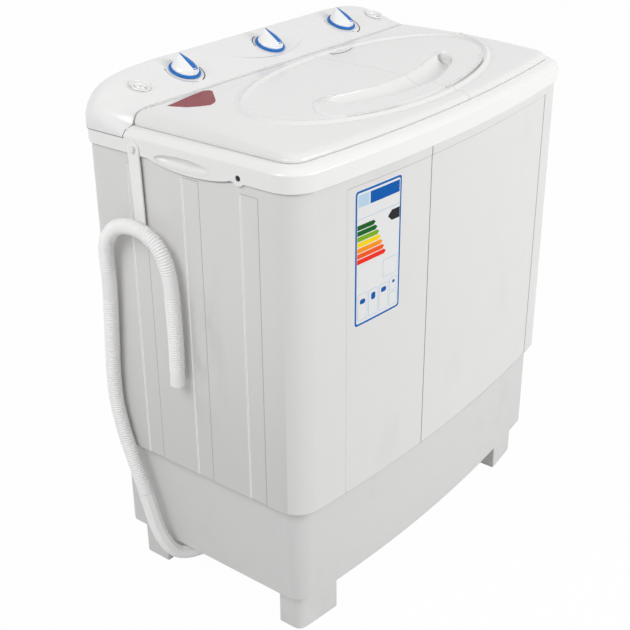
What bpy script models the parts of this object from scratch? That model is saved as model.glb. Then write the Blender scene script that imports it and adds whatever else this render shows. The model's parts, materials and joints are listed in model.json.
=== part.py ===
"""Twin-tub washing machine: a wash tub with a pulsator on the left, a spin basket on the right,
one control panel across the rear and a drain hose hung on the left side.

Metres, +Z up. The front faces -Y, and the wash tub is on the -X side. The origin is on the
floor, in the middle of the machine's width and depth."""

import math

import bmesh
import bpy
from mathutils import Matrix, Vector

# Fits
GAP = 0.0003
OVERRUN = 0.002
MERGE = 0.000002

# The cabinet in plan
BODY_WIDTH = 0.765
BODY_DEPTH = 0.445
FRONT_BOW = 0.0285
FRONT_CORNER = 0.046
REAR_CORNER = 0.030
SMALL_CORNER = 0.006
CORNER_STEPS = 4
FRONT_STEPS = 10

# Heights
FOOT_HEIGHT = 0.075
BASE_HEIGHT = 0.1797
CABINET_HEIGHT = 0.542
RIM_DROP = 0.008
RIM_HEIGHT = 0.0255
SHOULDER_RISE = 0.010
LID_RISE = 0.022
PANEL_RISE = 0.0335

# Walls
CABINET_WALL = 0.003
BASE_WALL = 0.003
FRAME_WALL = 0.0026
PANEL_WALL = 0.0026
LID_WALL = 0.0024
TUB_WALL = 0.0026

# How far each level stands in from the cabinet's outline
BASE_INSET = 0.0135
FOOT_INSET = 0.0305
RIM_OVERHANG = 0.004
DECK_INSET = 0.0165
LID_INSET = 0.0185

# The rear line of the lids and the front line of the panel
PANEL_DEPTH = 0.0930
PANEL_FRONT = BODY_DEPTH / 2 - PANEL_DEPTH
LID_REAR_OFFSET = 0.0015
LID_REAR = PANEL_FRONT - LID_REAR_OFFSET
PANEL_STEP = 0.0043
DECK_REAR_OFFSET = 0.0020
DECK_REAR = PANEL_FRONT - DECK_REAR_OFFSET
SPLIT_GAP = 0.0008
LID_SPAN = LID_REAR + BODY_DEPTH / 2 - LID_INSET

# Hinge line of both lids
HINGE_RADIUS = 0.0063
ROD_RADIUS = 0.0015
ROD_CLEARANCE = 0.0004

# Levels worked out from the heights
BASE_TOP = FOOT_HEIGHT + BASE_HEIGHT
CABINET_BOTTOM = BASE_TOP + GAP
CABINET_TOP = CABINET_BOTTOM + CABINET_HEIGHT
RIM_BOTTOM = CABINET_TOP - RIM_DROP
RIM_TOP = RIM_BOTTOM + RIM_HEIGHT
DECK_TOP = RIM_TOP + SHOULDER_RISE
DECK_UNDERSIDE = DECK_TOP - FRAME_WALL
LID_BOTTOM = DECK_TOP + 3 * GAP
LID_TOP = DECK_TOP + LID_RISE
HINGE_Z = LID_TOP - HINGE_RADIUS
HINGE_Y = LID_REAR - HINGE_RADIUS
PANEL_BOTTOM = RIM_TOP - PANEL_STEP
PANEL_REAR = BODY_DEPTH / 2 + RIM_OVERHANG
PANEL_LIP = 0.0003
PANEL_FRONT_TOP = LID_TOP
PANEL_REAR_TOP = PANEL_FRONT_TOP + PANEL_RISE
PANEL_TILT = math.atan2(PANEL_RISE, BODY_DEPTH / 2 - PANEL_FRONT)
FLOOR_TOP = FOOT_HEIGHT + BASE_WALL

# Wash side
TUB_ROOM_LEFT = 0.0355
TUB_ROOM_FRONT = 0.0575
TUB_ROOM_REAR = 0.0275
SPIN_SHARE = 0.3555
WASH_WIDTH = BODY_WIDTH - SPIN_SHARE - TUB_ROOM_LEFT
WASH_DEPTH = BODY_DEPTH / 2 + DECK_REAR - TUB_ROOM_FRONT - TUB_ROOM_REAR
WASH_X = -BODY_WIDTH / 2 + TUB_ROOM_LEFT + WASH_WIDTH / 2
WASH_Y = DECK_REAR - TUB_ROOM_REAR - WASH_DEPTH / 2
WASH_CORNER = 0.050
WASH_BOTTOM = 0.360
PULSATOR_RADIUS_OFFSET = 0.0345
PULSATOR_RADIUS = WASH_DEPTH / 2 - PULSATOR_RADIUS_OFFSET
PULSATOR_LIFT = 0.004
WASH_SHAFT_RADIUS = 0.0078

# Spin side
SPIN_X_OFFSET = 0.00025
SPIN_X = BODY_WIDTH / 2 - SPIN_SHARE / 2 + SPIN_X_OFFSET
SPIN_Y_OFFSET = 0.0005
SPIN_Y = WASH_Y - SPIN_Y_OFFSET
SPIN_TUB_RADIUS_OFFSET = 0.0045
SPIN_TUB_RADIUS = WASH_DEPTH / 2 - SPIN_TUB_RADIUS_OFFSET
SPIN_TUB_BOTTOM = 0.335
BASKET_RADIUS_OFFSET = 0.016
BASKET_RADIUS = SPIN_TUB_RADIUS - BASKET_RADIUS_OFFSET
BASKET_BOTTOM = 0.352
BASKET_DROP = 0.0325
BASKET_HEIGHT = DECK_TOP - BASKET_DROP - BASKET_BOTTOM
SPIN_MOUTH_RADIUS_OFFSET = 0.004
SPIN_MOUTH_RADIUS = BASKET_RADIUS + SPIN_MOUTH_RADIUS_OFFSET
LID_SPLIT_OFFSET = 0.155
LID_SPLIT = SPIN_X - LID_SPLIT_OFFSET
SPIN_SHAFT_RADIUS = 0.0070

# Drive
DRIVE_Z = 0.281
MOTOR_X_OFFSET = 0.160
MOTOR_X = WASH_X + MOTOR_X_OFFSET
PULLEY_RADIUS = 0.070
MOTOR_PULLEY_RADIUS = 0.024
BELT_THICKNESS = 0.005
BELT_HEIGHT = 0.008

# Knobs, in line along the panel
KNOB_Y_OFFSET = 0.0475
KNOB_Y = PANEL_FRONT + KNOB_Y_OFFSET
WASH_KNOB_X_OFFSET = 0.1835
WASH_KNOB_X = -BODY_WIDTH / 2 + WASH_KNOB_X_OFFSET
SELECTOR_X_OFFSET = 0.192
SELECTOR_X = SPIN_X - SELECTOR_X_OFFSET
SPIN_KNOB_X_OFFSET = 0.1645
SPIN_KNOB_X = BODY_WIDTH / 2 - SPIN_KNOB_X_OFFSET
KNOB_RING_RADIUS = 0.0265
KNOB_STEM_RADIUS = 0.0035
INLET_Y_OFFSET = 0.0445
INLET_Y = PANEL_FRONT + INLET_Y_OFFSET
WASH_INLET_X_OFFSET = 0.0825
WASH_INLET_X = -BODY_WIDTH / 2 + WASH_INLET_X_OFFSET
SPIN_INLET_X_OFFSET = 0.0635
SPIN_INLET_X = BODY_WIDTH / 2 - SPIN_INLET_X_OFFSET
INLET_RADIUS = 0.0150

# Drain
VALVE_Y_OFFSET = 0.0620
VALVE_Y = BODY_DEPTH / 2 - VALVE_Y_OFFSET
VALVE_RADIUS = 0.026
OUTLET_Z = 0.122
HOSE_RADIUS = 0.0125
HOSE_BORE = 0.0098

# The drain hose from the elbow up the left side, over the strap and down to its open end
HOSE_ROUTE = [
    (-0.3965, 0.1345, 0.1760), (-0.3970, 0.1468, 0.2120), (-0.3970, 0.1614, 0.2504),
    (-0.3970, 0.1745, 0.2900), (-0.3970, 0.1850, 0.3400), (-0.3970, 0.1868, 0.3900),
    (-0.3972, 0.1830, 0.4500), (-0.3980, 0.1780, 0.5100), (-0.3992, 0.1740, 0.5600),
    (-0.4015, 0.1720, 0.6030), (-0.4035, 0.1690, 0.6300), (-0.4050, 0.1600, 0.6510),
    (-0.4055, 0.1425, 0.6690), (-0.4055, 0.1170, 0.6785), (-0.4055, 0.0870, 0.6785),
    (-0.4055, 0.0630, 0.6690), (-0.4045, 0.0460, 0.6510), (-0.4030, 0.0370, 0.6270),
    (-0.4020, 0.0330, 0.5980), (-0.4010, 0.0315, 0.5400), (-0.4000, 0.0325, 0.4800),
    (-0.4000, 0.0345, 0.4290),
]
# The moulded elbow and the inner pipes, as shares of the way along X, Y and Z between their ends
ELBOW_HOLE_X_OFFSET = 0.0755
ELBOW_HOLE_X = -BODY_WIDTH / 2 + ELBOW_HOLE_X_OFFSET
ELBOW_HOLE_Y = 0.0495
ELBOW_HOLE_RADIUS = 0.023
ELBOW_DROP_SHARES = [
    (0.009, 0.180, 0.507), (0.032, 0.281, 0.748), (0.088, 0.364, 0.953), (0.178, 0.435, 1.121),
    (0.312, 0.512, 1.236), (0.485, 0.620, 1.283), (0.676, 0.756, 1.262), (0.843, 0.881, 1.178),
    (0.960, 0.970, 1.040),
]
ELBOW_INNER_SHARES = [
    (0.012, -0.013, 0.330), (0.044, 0.022, 0.700), (0.103, 0.131, 0.932), (0.181, 0.302, 1.0),
    (0.291, 0.527, 1.0), (0.422, 0.743, 1.0), (0.575, 0.905, 1.0), (0.735, 0.986, 1.0), (0.877, 1.0, 1.0),
]
WASH_DRAIN_SHARES = [
    (0.0, 0.0, 0.170), (0.186, 0.096, 0.401), (0.605, 0.289, 0.689), (0.884, 0.514, 0.902), (1.0, 0.740, 1.0),
]
SPIN_DRAIN_SHARES = [
    (0.0, 0.0, 0.224), (0.081, 0.129, 0.503), (0.284, 0.488, 0.774), (0.530, 0.860, 0.950), (0.740, 1.0, 1.0),
]
WASH_INLET_SHARES = [(0.400, 0.460, 0.823)]
SPIN_INLET_SHARES = [(0.180, 0.340, 0.823)]


def clear_scene():
    for old in list(bpy.data.objects):
        bpy.data.objects.remove(old, do_unlink=True)


def new_collection(name):
    group = bpy.data.collections.new(name)
    bpy.context.scene.collection.children.link(group)
    return group


clear_scene()
MACHINE = new_collection("washing_machine")
CUTTERS = new_collection("cutters")


def material(name, colour, roughness, metallic=0.0):
    made = bpy.data.materials.new(name)
    made.use_nodes = True
    shader = made.node_tree.nodes["Principled BSDF"]
    shader.inputs["Base Color"].default_value = (*colour, 1.0)
    shader.inputs["Roughness"].default_value = roughness
    shader.inputs["Metallic"].default_value = metallic
    return made


GLOSS_WHITE = material("gloss_white_plastic", (0.86, 0.86, 0.85), 0.25)
BODY_WHITE = material("body_white_plastic", (0.82, 0.82, 0.80), 0.42)
BASE_WHITE = material("base_white_plastic", (0.77, 0.77, 0.76), 0.50)
TUB_WHITE = material("tub_plastic", (0.84, 0.85, 0.86), 0.35)
HOSE_WHITE = material("hose_plastic", (0.85, 0.84, 0.82), 0.45)
KNOB_BLUE = material("knob_plastic", (0.10, 0.35, 0.72), 0.35)
INNER_GREY = material("inner_plastic", (0.35, 0.37, 0.40), 0.50)
MOTOR_METAL = material("motor_casing", (0.42, 0.43, 0.44), 0.45, 0.8)
STEEL = material("steel", (0.62, 0.62, 0.63), 0.30, 1.0)
RUBBER = material("rubber", (0.04, 0.04, 0.04), 0.75)
BLACK = material("black_screw", (0.03, 0.03, 0.03), 0.40, 0.6)


def made_object(name, mesh, finish=None, group=None):
    piece = bpy.data.objects.new(name, mesh)
    (group or CUTTERS).objects.link(piece)
    if finish is not None:
        mesh.materials.clear()
        mesh.materials.append(finish)
    return piece


def from_bmesh(name, built):
    mesh = bpy.data.meshes.new(name)
    built.to_mesh(mesh)
    built.free()
    return made_object(name, mesh)


def baked(piece):
    """The piece with its modifiers, or its curve, turned into a plain mesh."""
    bpy.context.view_layer.update()
    graph = bpy.context.evaluated_depsgraph_get()
    mesh = bpy.data.meshes.new_from_object(piece.evaluated_get(graph))
    mesh.transform(piece.matrix_world)
    built = bmesh.new()
    built.from_mesh(mesh)
    bmesh.ops.remove_doubles(built, verts=built.verts, dist=MERGE)
    built.to_mesh(mesh)
    built.free()
    name = piece.name
    bpy.data.objects.remove(piece, do_unlink=True)
    mesh.name = name
    return made_object(name, mesh)


def boolean(target, other, operation):
    """Join, cut or intersect one solid with another, and use the other up."""
    change = target.modifiers.new(operation.lower(), "BOOLEAN")
    change.operation = operation
    change.object = other
    result = baked(target)
    bpy.data.objects.remove(other, do_unlink=True)
    return result


def cut(target, *others):
    for other in others:
        target = boolean(target, other, "DIFFERENCE")
    return target


def join(target, *others):
    for other in others:
        target = boolean(target, other, "UNION")
    return target


def plainer(piece, angle=math.radians(0.1)):
    """Merge faces that lie in one plane, which Booleans leave in pieces."""
    built = bmesh.new()
    built.from_mesh(piece.data)
    bmesh.ops.dissolve_limit(built, angle_limit=angle, verts=built.verts, edges=built.edges)
    bmesh.ops.triangulate(built, faces=built.faces)
    built.to_mesh(piece.data)
    built.free()


def keep(name, piece, finish, smooth=True):
    """Name a finished solid and put it in the machine."""
    plainer(piece)
    CUTTERS.objects.unlink(piece)
    MACHINE.objects.link(piece)
    piece.name = name
    piece.data.name = name
    piece.data.materials.clear()
    piece.data.materials.append(finish)
    if smooth:
        piece.data.shade_smooth()
        piece.data.set_sharp_from_angle(angle=math.radians(35))
    return piece


def box(low, high):
    built = bmesh.new()
    bmesh.ops.create_cube(built, size=1.0)
    size = Vector(high) - Vector(low)
    bmesh.ops.scale(built, vec=size, verts=built.verts)
    bmesh.ops.translate(built, vec=Vector(low) + size / 2, verts=built.verts)
    return from_bmesh("box", built)


def rod(radius, start, end, sides=16, end_radius=None):
    """A cylinder or cone between two points."""
    start, end = Vector(start), Vector(end)
    built = bmesh.new()
    bmesh.ops.create_cone(
        built, cap_ends=True, cap_tris=False, segments=sides,
        radius1=radius, radius2=radius if end_radius is None else end_radius,
        depth=(end - start).length,
    )
    turn = Vector((0, 0, 1)).rotation_difference((end - start).normalized())
    bmesh.ops.rotate(built, cent=(0, 0, 0), matrix=turn.to_matrix(), verts=built.verts)
    bmesh.ops.translate(built, vec=(start + end) / 2, verts=built.verts)
    return from_bmesh("rod", built)


def turned(profile, centre, steps=24, tilt=0.0):
    """A closed profile of (radius, height) points spun about a vertical or tilted axis."""
    built = bmesh.new()
    corners = [built.verts.new((radius, 0, height)) for radius, height in profile]
    closed = min(radius for radius, height in profile) > 0
    ends = corners[1:] + corners[:1] if closed else corners[1:]
    for first, second in zip(corners, ends):
        built.edges.new((first, second))
    piece = from_bmesh("turned", built)
    screw = piece.modifiers.new("turn", "SCREW")
    screw.steps = steps
    screw.render_steps = steps
    screw.use_merge_vertices = True
    screw.merge_threshold = 5 * MERGE
    piece = baked(piece)
    built = bmesh.new()
    built.from_mesh(piece.data)
    bmesh.ops.recalc_face_normals(built, faces=built.faces)
    built.to_mesh(piece.data)
    built.free()
    piece.data.transform(Matrix.Translation(centre) @ Matrix.Rotation(tilt, 4, "X"))
    return piece


def arc(centre, radius, start, end, steps):
    """Points along an arc, both ends included; the angles are in radians."""
    points = []
    for step in range(steps + 1):
        angle = start + (end - start) * step / steps
        points.append((centre[0] + radius * math.cos(angle), centre[1] + radius * math.sin(angle)))
    return points


def body_outline(inset, rear=None, rear_corner=None, rear_steps=CORNER_STEPS, corner_steps=CORNER_STEPS,
                 front_steps=FRONT_STEPS):
    """The machine's plan outline, set in on every side: straight sides, a bowed front."""
    half = BODY_WIDTH / 2 - inset
    back = BODY_DEPTH / 2 - inset if rear is None else rear
    front_radius = max(FRONT_CORNER - inset, SMALL_CORNER)
    back_radius = max(REAR_CORNER - inset, SMALL_CORNER) if rear_corner is None else rear_corner
    bow_radius = ((BODY_WIDTH / 2) ** 2 + FRONT_BOW ** 2) / (2 * FRONT_BOW)
    bow_centre = bow_radius - BODY_DEPTH / 2
    corner_x = half - front_radius
    reach = bow_radius - inset - front_radius
    corner_y = bow_centre - math.sqrt(reach ** 2 - corner_x ** 2)
    left_angle = math.atan2(corner_y - bow_centre, -corner_x) % math.tau
    right_angle = math.atan2(corner_y - bow_centre, corner_x) % math.tau
    quarter = math.pi / 2
    points = arc((half - back_radius, back - back_radius), back_radius, 0, quarter, rear_steps)
    points += arc((-half + back_radius, back - back_radius), back_radius, quarter, 2 * quarter, rear_steps)
    points += arc((-corner_x, corner_y), front_radius, math.pi, left_angle, corner_steps)
    points += arc((0, bow_centre), bow_radius - inset, left_angle, right_angle, front_steps)[1:-1]
    points += arc((corner_x, corner_y), front_radius, right_angle, math.tau, corner_steps)
    return points


def rounded_outline(centre, width, depth, radius, steps=CORNER_STEPS):
    points = []
    corners = [(1, 1), (-1, 1), (-1, -1), (1, -1)]
    for turn, (side, end) in enumerate(corners):
        middle = (centre[0] + side * (width / 2 - radius), centre[1] + end * (depth / 2 - radius))
        points += arc(middle, radius, turn * math.pi / 2, (turn + 1) * math.pi / 2, steps)
    return points


def level(points, height):
    return [(x, y, height) for x, y in points]


def skin(rings, first_cap=False, last_cap=False):
    """An open surface through closed rings of points, each counter-clockwise from above."""
    built = bmesh.new()
    rows = [[built.verts.new(point) for point in ring] for ring in rings]
    count = len(rows[0])
    for lower, upper in zip(rows, rows[1:]):
        for here in range(count):
            there = (here + 1) % count
            built.faces.new((lower[here], lower[there], upper[there], upper[here]))
    if first_cap:
        built.faces.new(list(reversed(rows[0])))
    if last_cap:
        built.faces.new(rows[-1])
    return from_bmesh("skin", built)


def triangulated(piece):
    built = bmesh.new()
    built.from_mesh(piece.data)
    bmesh.ops.triangulate(built, faces=built.faces)
    built.to_mesh(piece.data)
    built.free()
    return piece


def thickened(piece, wall):
    """A shell whose outer side is the surface given."""
    shell = piece.modifiers.new("wall", "SOLIDIFY")
    shell.thickness = wall
    shell.offset = -1.0
    shell.use_even_offset = True
    return baked(piece)


def slab(points, bottom, top):
    """A flat outline, extruded; a second outline inside the first is a hole."""
    outlines = points if isinstance(points[0], list) else [points]
    flat = bpy.data.curves.new("slab", "CURVE")
    flat.dimensions = "2D"
    flat.fill_mode = "BOTH"
    flat.extrude = (top - bottom) / 2
    for outline in outlines:
        line = flat.splines.new("POLY")
        line.points.add(len(outline) - 1)
        for spot, (x, y) in zip(line.points, outline):
            spot.co = (x, y, 0, 1)
        line.use_cyclic_u = True
    piece = made_object("slab", flat)
    piece.location.z = (top + bottom) / 2
    return baked(piece)


def between(start, end, shares):
    """Places given as shares of the way from one point to another, axis by axis."""
    return [tuple(a + (b - a) * share for a, b, share in zip(start, end, place)) for place in shares]


def smooth_route(points, spacing, straight=0.0):
    """Points at even steps along a smooth curve through the route's points, its ends straight."""
    knots = [Vector(point) for point in points]
    knots = [2 * knots[0] - knots[1]] + knots + [2 * knots[-1] - knots[-2]]
    fine = []
    parts = 12
    for a, b, c, d in zip(knots, knots[1:], knots[2:], knots[3:]):
        for part in range(parts):
            t = part / parts
            fine.append(0.5 * (2 * b + (c - a) * t + (2 * a - 5 * b + 4 * c - d) * t ** 2
                               + (3 * b - a - 3 * c + d) * t ** 3))
    fine.append(knots[-2])
    travelled = [0.0]
    for here, there in zip(fine, fine[1:]):
        travelled.append(travelled[-1] + (there - here).length)
    length = travelled[-1]
    count = max(2, round(length / spacing))
    step = length / count
    first_way = (knots[2] - knots[1]).normalized()
    last_way = (knots[-3] - knots[-2]).normalized()
    reach = max(straight, step * 1.01)
    even = []
    place = 0
    for number in range(count + 1):
        target = step * number
        while place < len(travelled) - 2 and travelled[place + 1] < target:
            place += 1
        span = travelled[place + 1] - travelled[place]
        point = fine[place].lerp(fine[place + 1], (target - travelled[place]) / span)
        if target < reach:
            point = knots[1] + first_way * target
        elif length - target < reach:
            point = knots[-2] + last_way * (length - target)
        even.append(point)
    return even, length


def thinned(points, tolerance=0.0005):
    """The same run of points without those that a straight piece stands for within a tolerance."""
    kept = points[:2]
    since = 1
    for number in range(2, len(points) - 1):
        start = points[since]
        way = (points[number + 1] - start).normalized()
        passed = [point - start for point in points[since + 1:number + 1]]
        if max((gap - way * gap.dot(way)).length for gap in passed) > tolerance:
            kept.append(points[number])
            since = number
    if since < len(points) - 2:
        kept.append(points[-2])
    return kept + points[-1:]


def tube(points, radii, detail=2):
    """A round solid along points; radii is one radius or one for each point."""
    if not isinstance(radii, list):
        radii = [radii] * len(points)
    line = bpy.data.curves.new("tube", "CURVE")
    line.dimensions = "3D"
    line.bevel_depth = max(radii)
    line.bevel_resolution = detail
    line.use_fill_caps = True
    spline = line.splines.new("POLY")
    spline.points.add(len(points) - 1)
    for spot, point, radius in zip(spline.points, points, radii):
        spot.co = (*point, 1)
        spot.radius = radius / max(radii)
    return baked(made_object("tube", line))


def lengthened(points, extra):
    """The same run of points, carried on straight past both ends."""
    start = points[0] + (points[0] - points[1]).normalized() * extra
    end = points[-1] + (points[-1] - points[-2]).normalized() * extra
    return [start] + points[1:-1] + [end]


def panel_point(x, y, depth=0.0):
    """A point on the sloping top of the control panel, or below it along its normal."""
    height = PANEL_FRONT_TOP + (y - PANEL_FRONT) * math.tan(PANEL_TILT)
    return Vector((x, y + depth * math.sin(PANEL_TILT), height - depth * math.cos(PANEL_TILT)))


def crown(y):
    """Height of the lids' top surface: level at the rear, falling gently to the front."""
    level_end = 0.0
    front_fall = 0.0125
    front = -BODY_DEPTH / 2 + DECK_INSET
    share = max(0.0, (level_end - y) / (level_end - front))
    return LID_TOP - front_fall * share ** 1.5


# Base and feet


def base_moulding():
    bottom = body_outline(BASE_INSET)
    shell = thickened(
        skin([level(bottom, FOOT_HEIGHT), level(bottom, BASE_TOP)], first_cap=True), BASE_WALL
    )
    hole = rod(ELBOW_HOLE_RADIUS, (ELBOW_HOLE_X, ELBOW_HOLE_Y, FOOT_HEIGHT - OVERRUN),
               (ELBOW_HOLE_X, ELBOW_HOLE_Y, FLOOR_TOP + OVERRUN))
    gland_bore = 0.009
    gland = rod(gland_bore, (GLAND_X, BODY_DEPTH / 2, GLAND_Z),
                (GLAND_X, BODY_DEPTH / 2 - BASE_INSET - 4 * BASE_WALL, GLAND_Z))
    return keep("base_moulding", cut(shell, hole, gland), BASE_WHITE)


GLAND_X_OFFSET = 0.0825
GLAND_X = BODY_WIDTH / 2 - GLAND_X_OFFSET
GLAND_Z = 0.200


def feet():
    """Four blocks that follow the base's outline at its corners."""
    inner_offset = 0.1185
    inner = BODY_WIDTH / 2 - inner_offset
    front_end_offset = 0.0990
    front_end = -BODY_DEPTH / 2 + front_end_offset
    rear_end_offset = 0.0850
    rear_end = BODY_DEPTH / 2 - rear_end_offset
    top = FOOT_HEIGHT - GAP
    for side, hand in ((-1, "left"), (1, "right")):
        for near, far, place in ((-BODY_DEPTH, front_end, "front"), (rear_end, BODY_DEPTH, "rear")):
            block = slab(body_outline(FOOT_INSET), 0, top)
            edges = sorted((side * inner, side * BODY_WIDTH))
            limits = box((edges[0], near, -OVERRUN), (edges[1], far, FOOT_HEIGHT + OVERRUN))
            block = boolean(block, limits, "INTERSECT")
            keep(f"foot_{place}_{hand}", block, BASE_WHITE)


# Cabinet


def cabinet_shell():
    flange = 0.0165
    wall = body_outline(0)
    shell = thickened(
        skin([level(body_outline(flange), CABINET_BOTTOM), level(wall, CABINET_BOTTOM),
              level(wall, CABINET_TOP)]),
        CABINET_WALL,
    )
    strip_width = 0.0327
    strip_first_offset = 0.0933
    strip_first = BODY_DEPTH / 2 - strip_first_offset
    strip_last_offset = 0.1269
    strip_pitch = (strip_first + BODY_DEPTH / 2 - strip_last_offset) / 2
    strip_depth = 0.0012
    strip_top = 0.772
    half = BODY_WIDTH / 2
    for side in (-1, 1):
        for number in range(3):
            rear = strip_first - number * strip_pitch
            edges = sorted((side * (half - strip_depth), side * (half + OVERRUN)))
            shell = cut(shell, box((edges[0], rear - strip_width, CABINET_BOTTOM - OVERRUN),
                                   (edges[1], rear, strip_top)))
    panel_left_offset = 0.1025
    panel_left = -BODY_WIDTH / 2 + panel_left_offset
    panel_right_offset = 0.0725
    panel_right = BODY_WIDTH / 2 - panel_right_offset
    panel_depth = 0.0009
    panel = slab([body_outline(-OVERRUN), body_outline(panel_depth)], CABINET_BOTTOM + strip_depth, strip_top)
    shell = cut(shell, boolean(panel, box((panel_left, -BODY_DEPTH, 0), (panel_right, 0, BODY_DEPTH * 2)),
                               "INTERSECT"))
    seam_x_offset = 0.1325
    seam_x = LID_SPLIT - seam_x_offset
    seam_width = 0.0014
    seam_depth = 0.0018
    seam = slab([body_outline(-OVERRUN), body_outline(seam_depth)], CABINET_BOTTOM - OVERRUN, RIM_BOTTOM + OVERRUN)
    shell = cut(shell, boolean(seam, box((seam_x, -BODY_DEPTH, 0), (seam_x + seam_width, 0, BODY_DEPTH * 2)),
                               "INTERSECT"))
    for side in (-1, 1):
        edges = sorted((side * (half - 3 * CABINET_WALL), side * (half + OVERRUN)))
        notch = scoop_outline(SCOOP_FRONT - SCOOP_ROOM, SCOOP_REAR + SCOOP_ROOM, SCOOP_BOTTOM - SCOOP_ROOM, RIM_BOTTOM)
        notch += [(SCOOP_FRONT - SCOOP_ROOM, CABINET_TOP + OVERRUN), (SCOOP_REAR + SCOOP_ROOM, CABINET_TOP + OVERRUN)]
        shell = cut(shell, side_slab(notch, *edges))
    opening = box((-REAR_OPENING_HALF, BODY_DEPTH / 2 - 2 * CABINET_WALL, REAR_OPENING_BOTTOM),
                  (REAR_OPENING_HALF, BODY_DEPTH / 2 + OVERRUN, REAR_OPENING_TOP))
    return keep("cabinet_shell", cut(shell, opening), BODY_WHITE)


SCOOP_FRONT = -0.0840
SCOOP_REAR = 0.0830
SCOOP_BOTTOM = 0.7785
SCOOP_DEPTH = 0.0165
SCOOP_ROOM = 0.0008
REAR_OPENING_HALF_OFFSET = 0.0475
REAR_OPENING_HALF = BODY_WIDTH / 2 - REAR_OPENING_HALF_OFFSET
REAR_OPENING_BOTTOM = 0.290
REAR_OPENING_TOP = 0.762


def rear_cover():
    lap = 0.015
    thickness = 0.0016
    face = BODY_DEPTH / 2 + GAP
    plate = box((-REAR_OPENING_HALF - lap, face, REAR_OPENING_BOTTOM - lap),
                (REAR_OPENING_HALF + lap, face + thickness, REAR_OPENING_TOP + lap))
    slot_width = 0.075
    slot_height = 0.005
    slot_pitch = 0.016
    slot_first = 0.330
    for centre in (MOTOR_X - 2.5 * slot_width, SPIN_X):
        for number in range(4):
            bottom = slot_first + number * slot_pitch
            plate = cut(plate, box((centre - slot_width / 2, face - OVERRUN, bottom),
                                   (centre + slot_width / 2, face + thickness + OVERRUN, bottom + slot_height)))
    return keep("rear_cover", plate, BODY_WHITE)


# Top frame


def scoop_outline(front, rear, bottom, top, steps=8):
    """Side view of the carrying scoop: a lens that hangs below the rim."""
    points = []
    for step in range(steps + 1):
        share = step / steps
        points.append((rear + (front - rear) * share, top - (top - bottom) * math.sin(math.pi * share) ** 0.7))
    return points


HINGE_STATION_SHARES = {"wash": (0.094, 0.722), "spin": (0.255, 0.876)}


def hinge_stations():
    """Where each lid's two hinge lugs stand, from shares of that lid's width."""
    edge = BODY_WIDTH / 2 - LID_INSET
    spans = {"wash": (-edge, LID_SPLIT), "spin": (LID_SPLIT, edge)}
    return {
        name: tuple(start + (end - start) * share for share in HINGE_STATION_SHARES[name])
        for name, (start, end) in spans.items()
    }


LUG_WIDTH = 0.010


def top_frame():
    rim = body_outline(-RIM_OVERHANG)
    shoulder = [(-0.001, 0.0035), (0.0060, 0.0077)]
    rings = [level(rim, RIM_BOTTOM), level(rim, RIM_TOP)]
    rings += [level(body_outline(inset), RIM_TOP + rise) for inset, rise in shoulder]
    rings += [level(body_outline(DECK_INSET), DECK_TOP)]
    frame = thickened(skin(rings, last_cap=True), FRAME_WALL)
    half = BODY_WIDTH / 2
    frame = cut(
        frame,
        box((-BODY_WIDTH, DECK_REAR, PANEL_BOTTOM - GAP), (BODY_WIDTH, BODY_DEPTH, LID_TOP)),
        slab(tub_outline(TUB_WALL), RIM_BOTTOM, LID_TOP),
        rod(SPIN_MOUTH_RADIUS, (SPIN_X, SPIN_Y, RIM_BOTTOM), (SPIN_X, SPIN_Y, LID_TOP), sides=24),
    )
    splash_drop = 0.020
    splash = box((-half + FRAME_WALL, DECK_REAR - FRAME_WALL, DECK_TOP - splash_drop),
                 (half - FRAME_WALL, DECK_REAR, DECK_TOP - FRAME_WALL / 2))
    frame = join(frame, splash)
    for lid_lugs in hinge_stations().values():
        for x in lid_lugs:
            frame = join(frame, hinge_lug(x, HINGE_Y, HINGE_Z, HINGE_RADIUS, DECK_TOP - FRAME_WALL / 2))
    for x in COVER_LUGS:
        frame = join(frame, hinge_lug(x, COVER_HINGE_Y, COVER_HINGE_Z, COVER_LUG_RADIUS,
                                      DECK_TOP - FRAME_WALL / 2))
    for side in (-1, 1):
        frame = join(frame, scoop_block(side))
        frame = cut(frame, scoop_hollow(side))
    peg_length = 0.0068
    peg_head = 0.0018
    face = -half - RIM_OVERHANG
    peg = rod(PEG_RADIUS, (face + FRAME_WALL / 2, PEG_Y, PEG_Z), (face - peg_length, PEG_Y, PEG_Z), sides=12)
    head = rod(PEG_HEAD_RADIUS, (face - peg_length + peg_head, PEG_Y, PEG_Z),
               (face - peg_length, PEG_Y, PEG_Z), sides=12)
    frame = join(frame, peg, head)
    for side in (-1, 1):
        frame = join(frame, screw_tab(side))
        centre = side * (half + RIM_OVERHANG)
        frame = cut(frame, rod(SCREW_RADIUS + GAP, (centre - side * 3 * FRAME_WALL, SCREW_Y, SCREW_Z),
                               (centre + side * OVERRUN, SCREW_Y, SCREW_Z), sides=12))
    return keep("top_frame", frame, GLOSS_WHITE)


PEG_Y = 0.107
PEG_Z = 0.7990
PEG_RADIUS = 0.0035
PEG_HEAD_RADIUS = 0.0055
SCREW_Y = -0.097
SCREW_Z = 0.7960
SCREW_RADIUS = 0.0042


def hinge_lug(x, y, z, radius, foot):
    """A knuckle on a short post, with the bore for its rod."""
    wide = LUG_WIDTH / 2
    lug = join(rod(radius, (x - wide, y, z), (x + wide, y, z), sides=12),
               box((x - wide, y - radius * 0.8, foot), (x + wide, y + radius * 0.7, z)))
    bore = ROD_RADIUS + ROD_CLEARANCE
    return cut(lug, rod(bore, (x - wide - OVERRUN, y, z), (x + wide + OVERRUN, y, z), sides=8))


def side_slab(outline, near, far):
    """A flat outline given in (y, z), extruded along X."""
    piece = slab(outline, near, far)
    upright = Matrix(((0, 0, 1, 0), (1, 0, 0, 0), (0, 1, 0, 0), (0, 0, 0, 1)))
    piece.data.transform(upright)
    return piece


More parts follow.
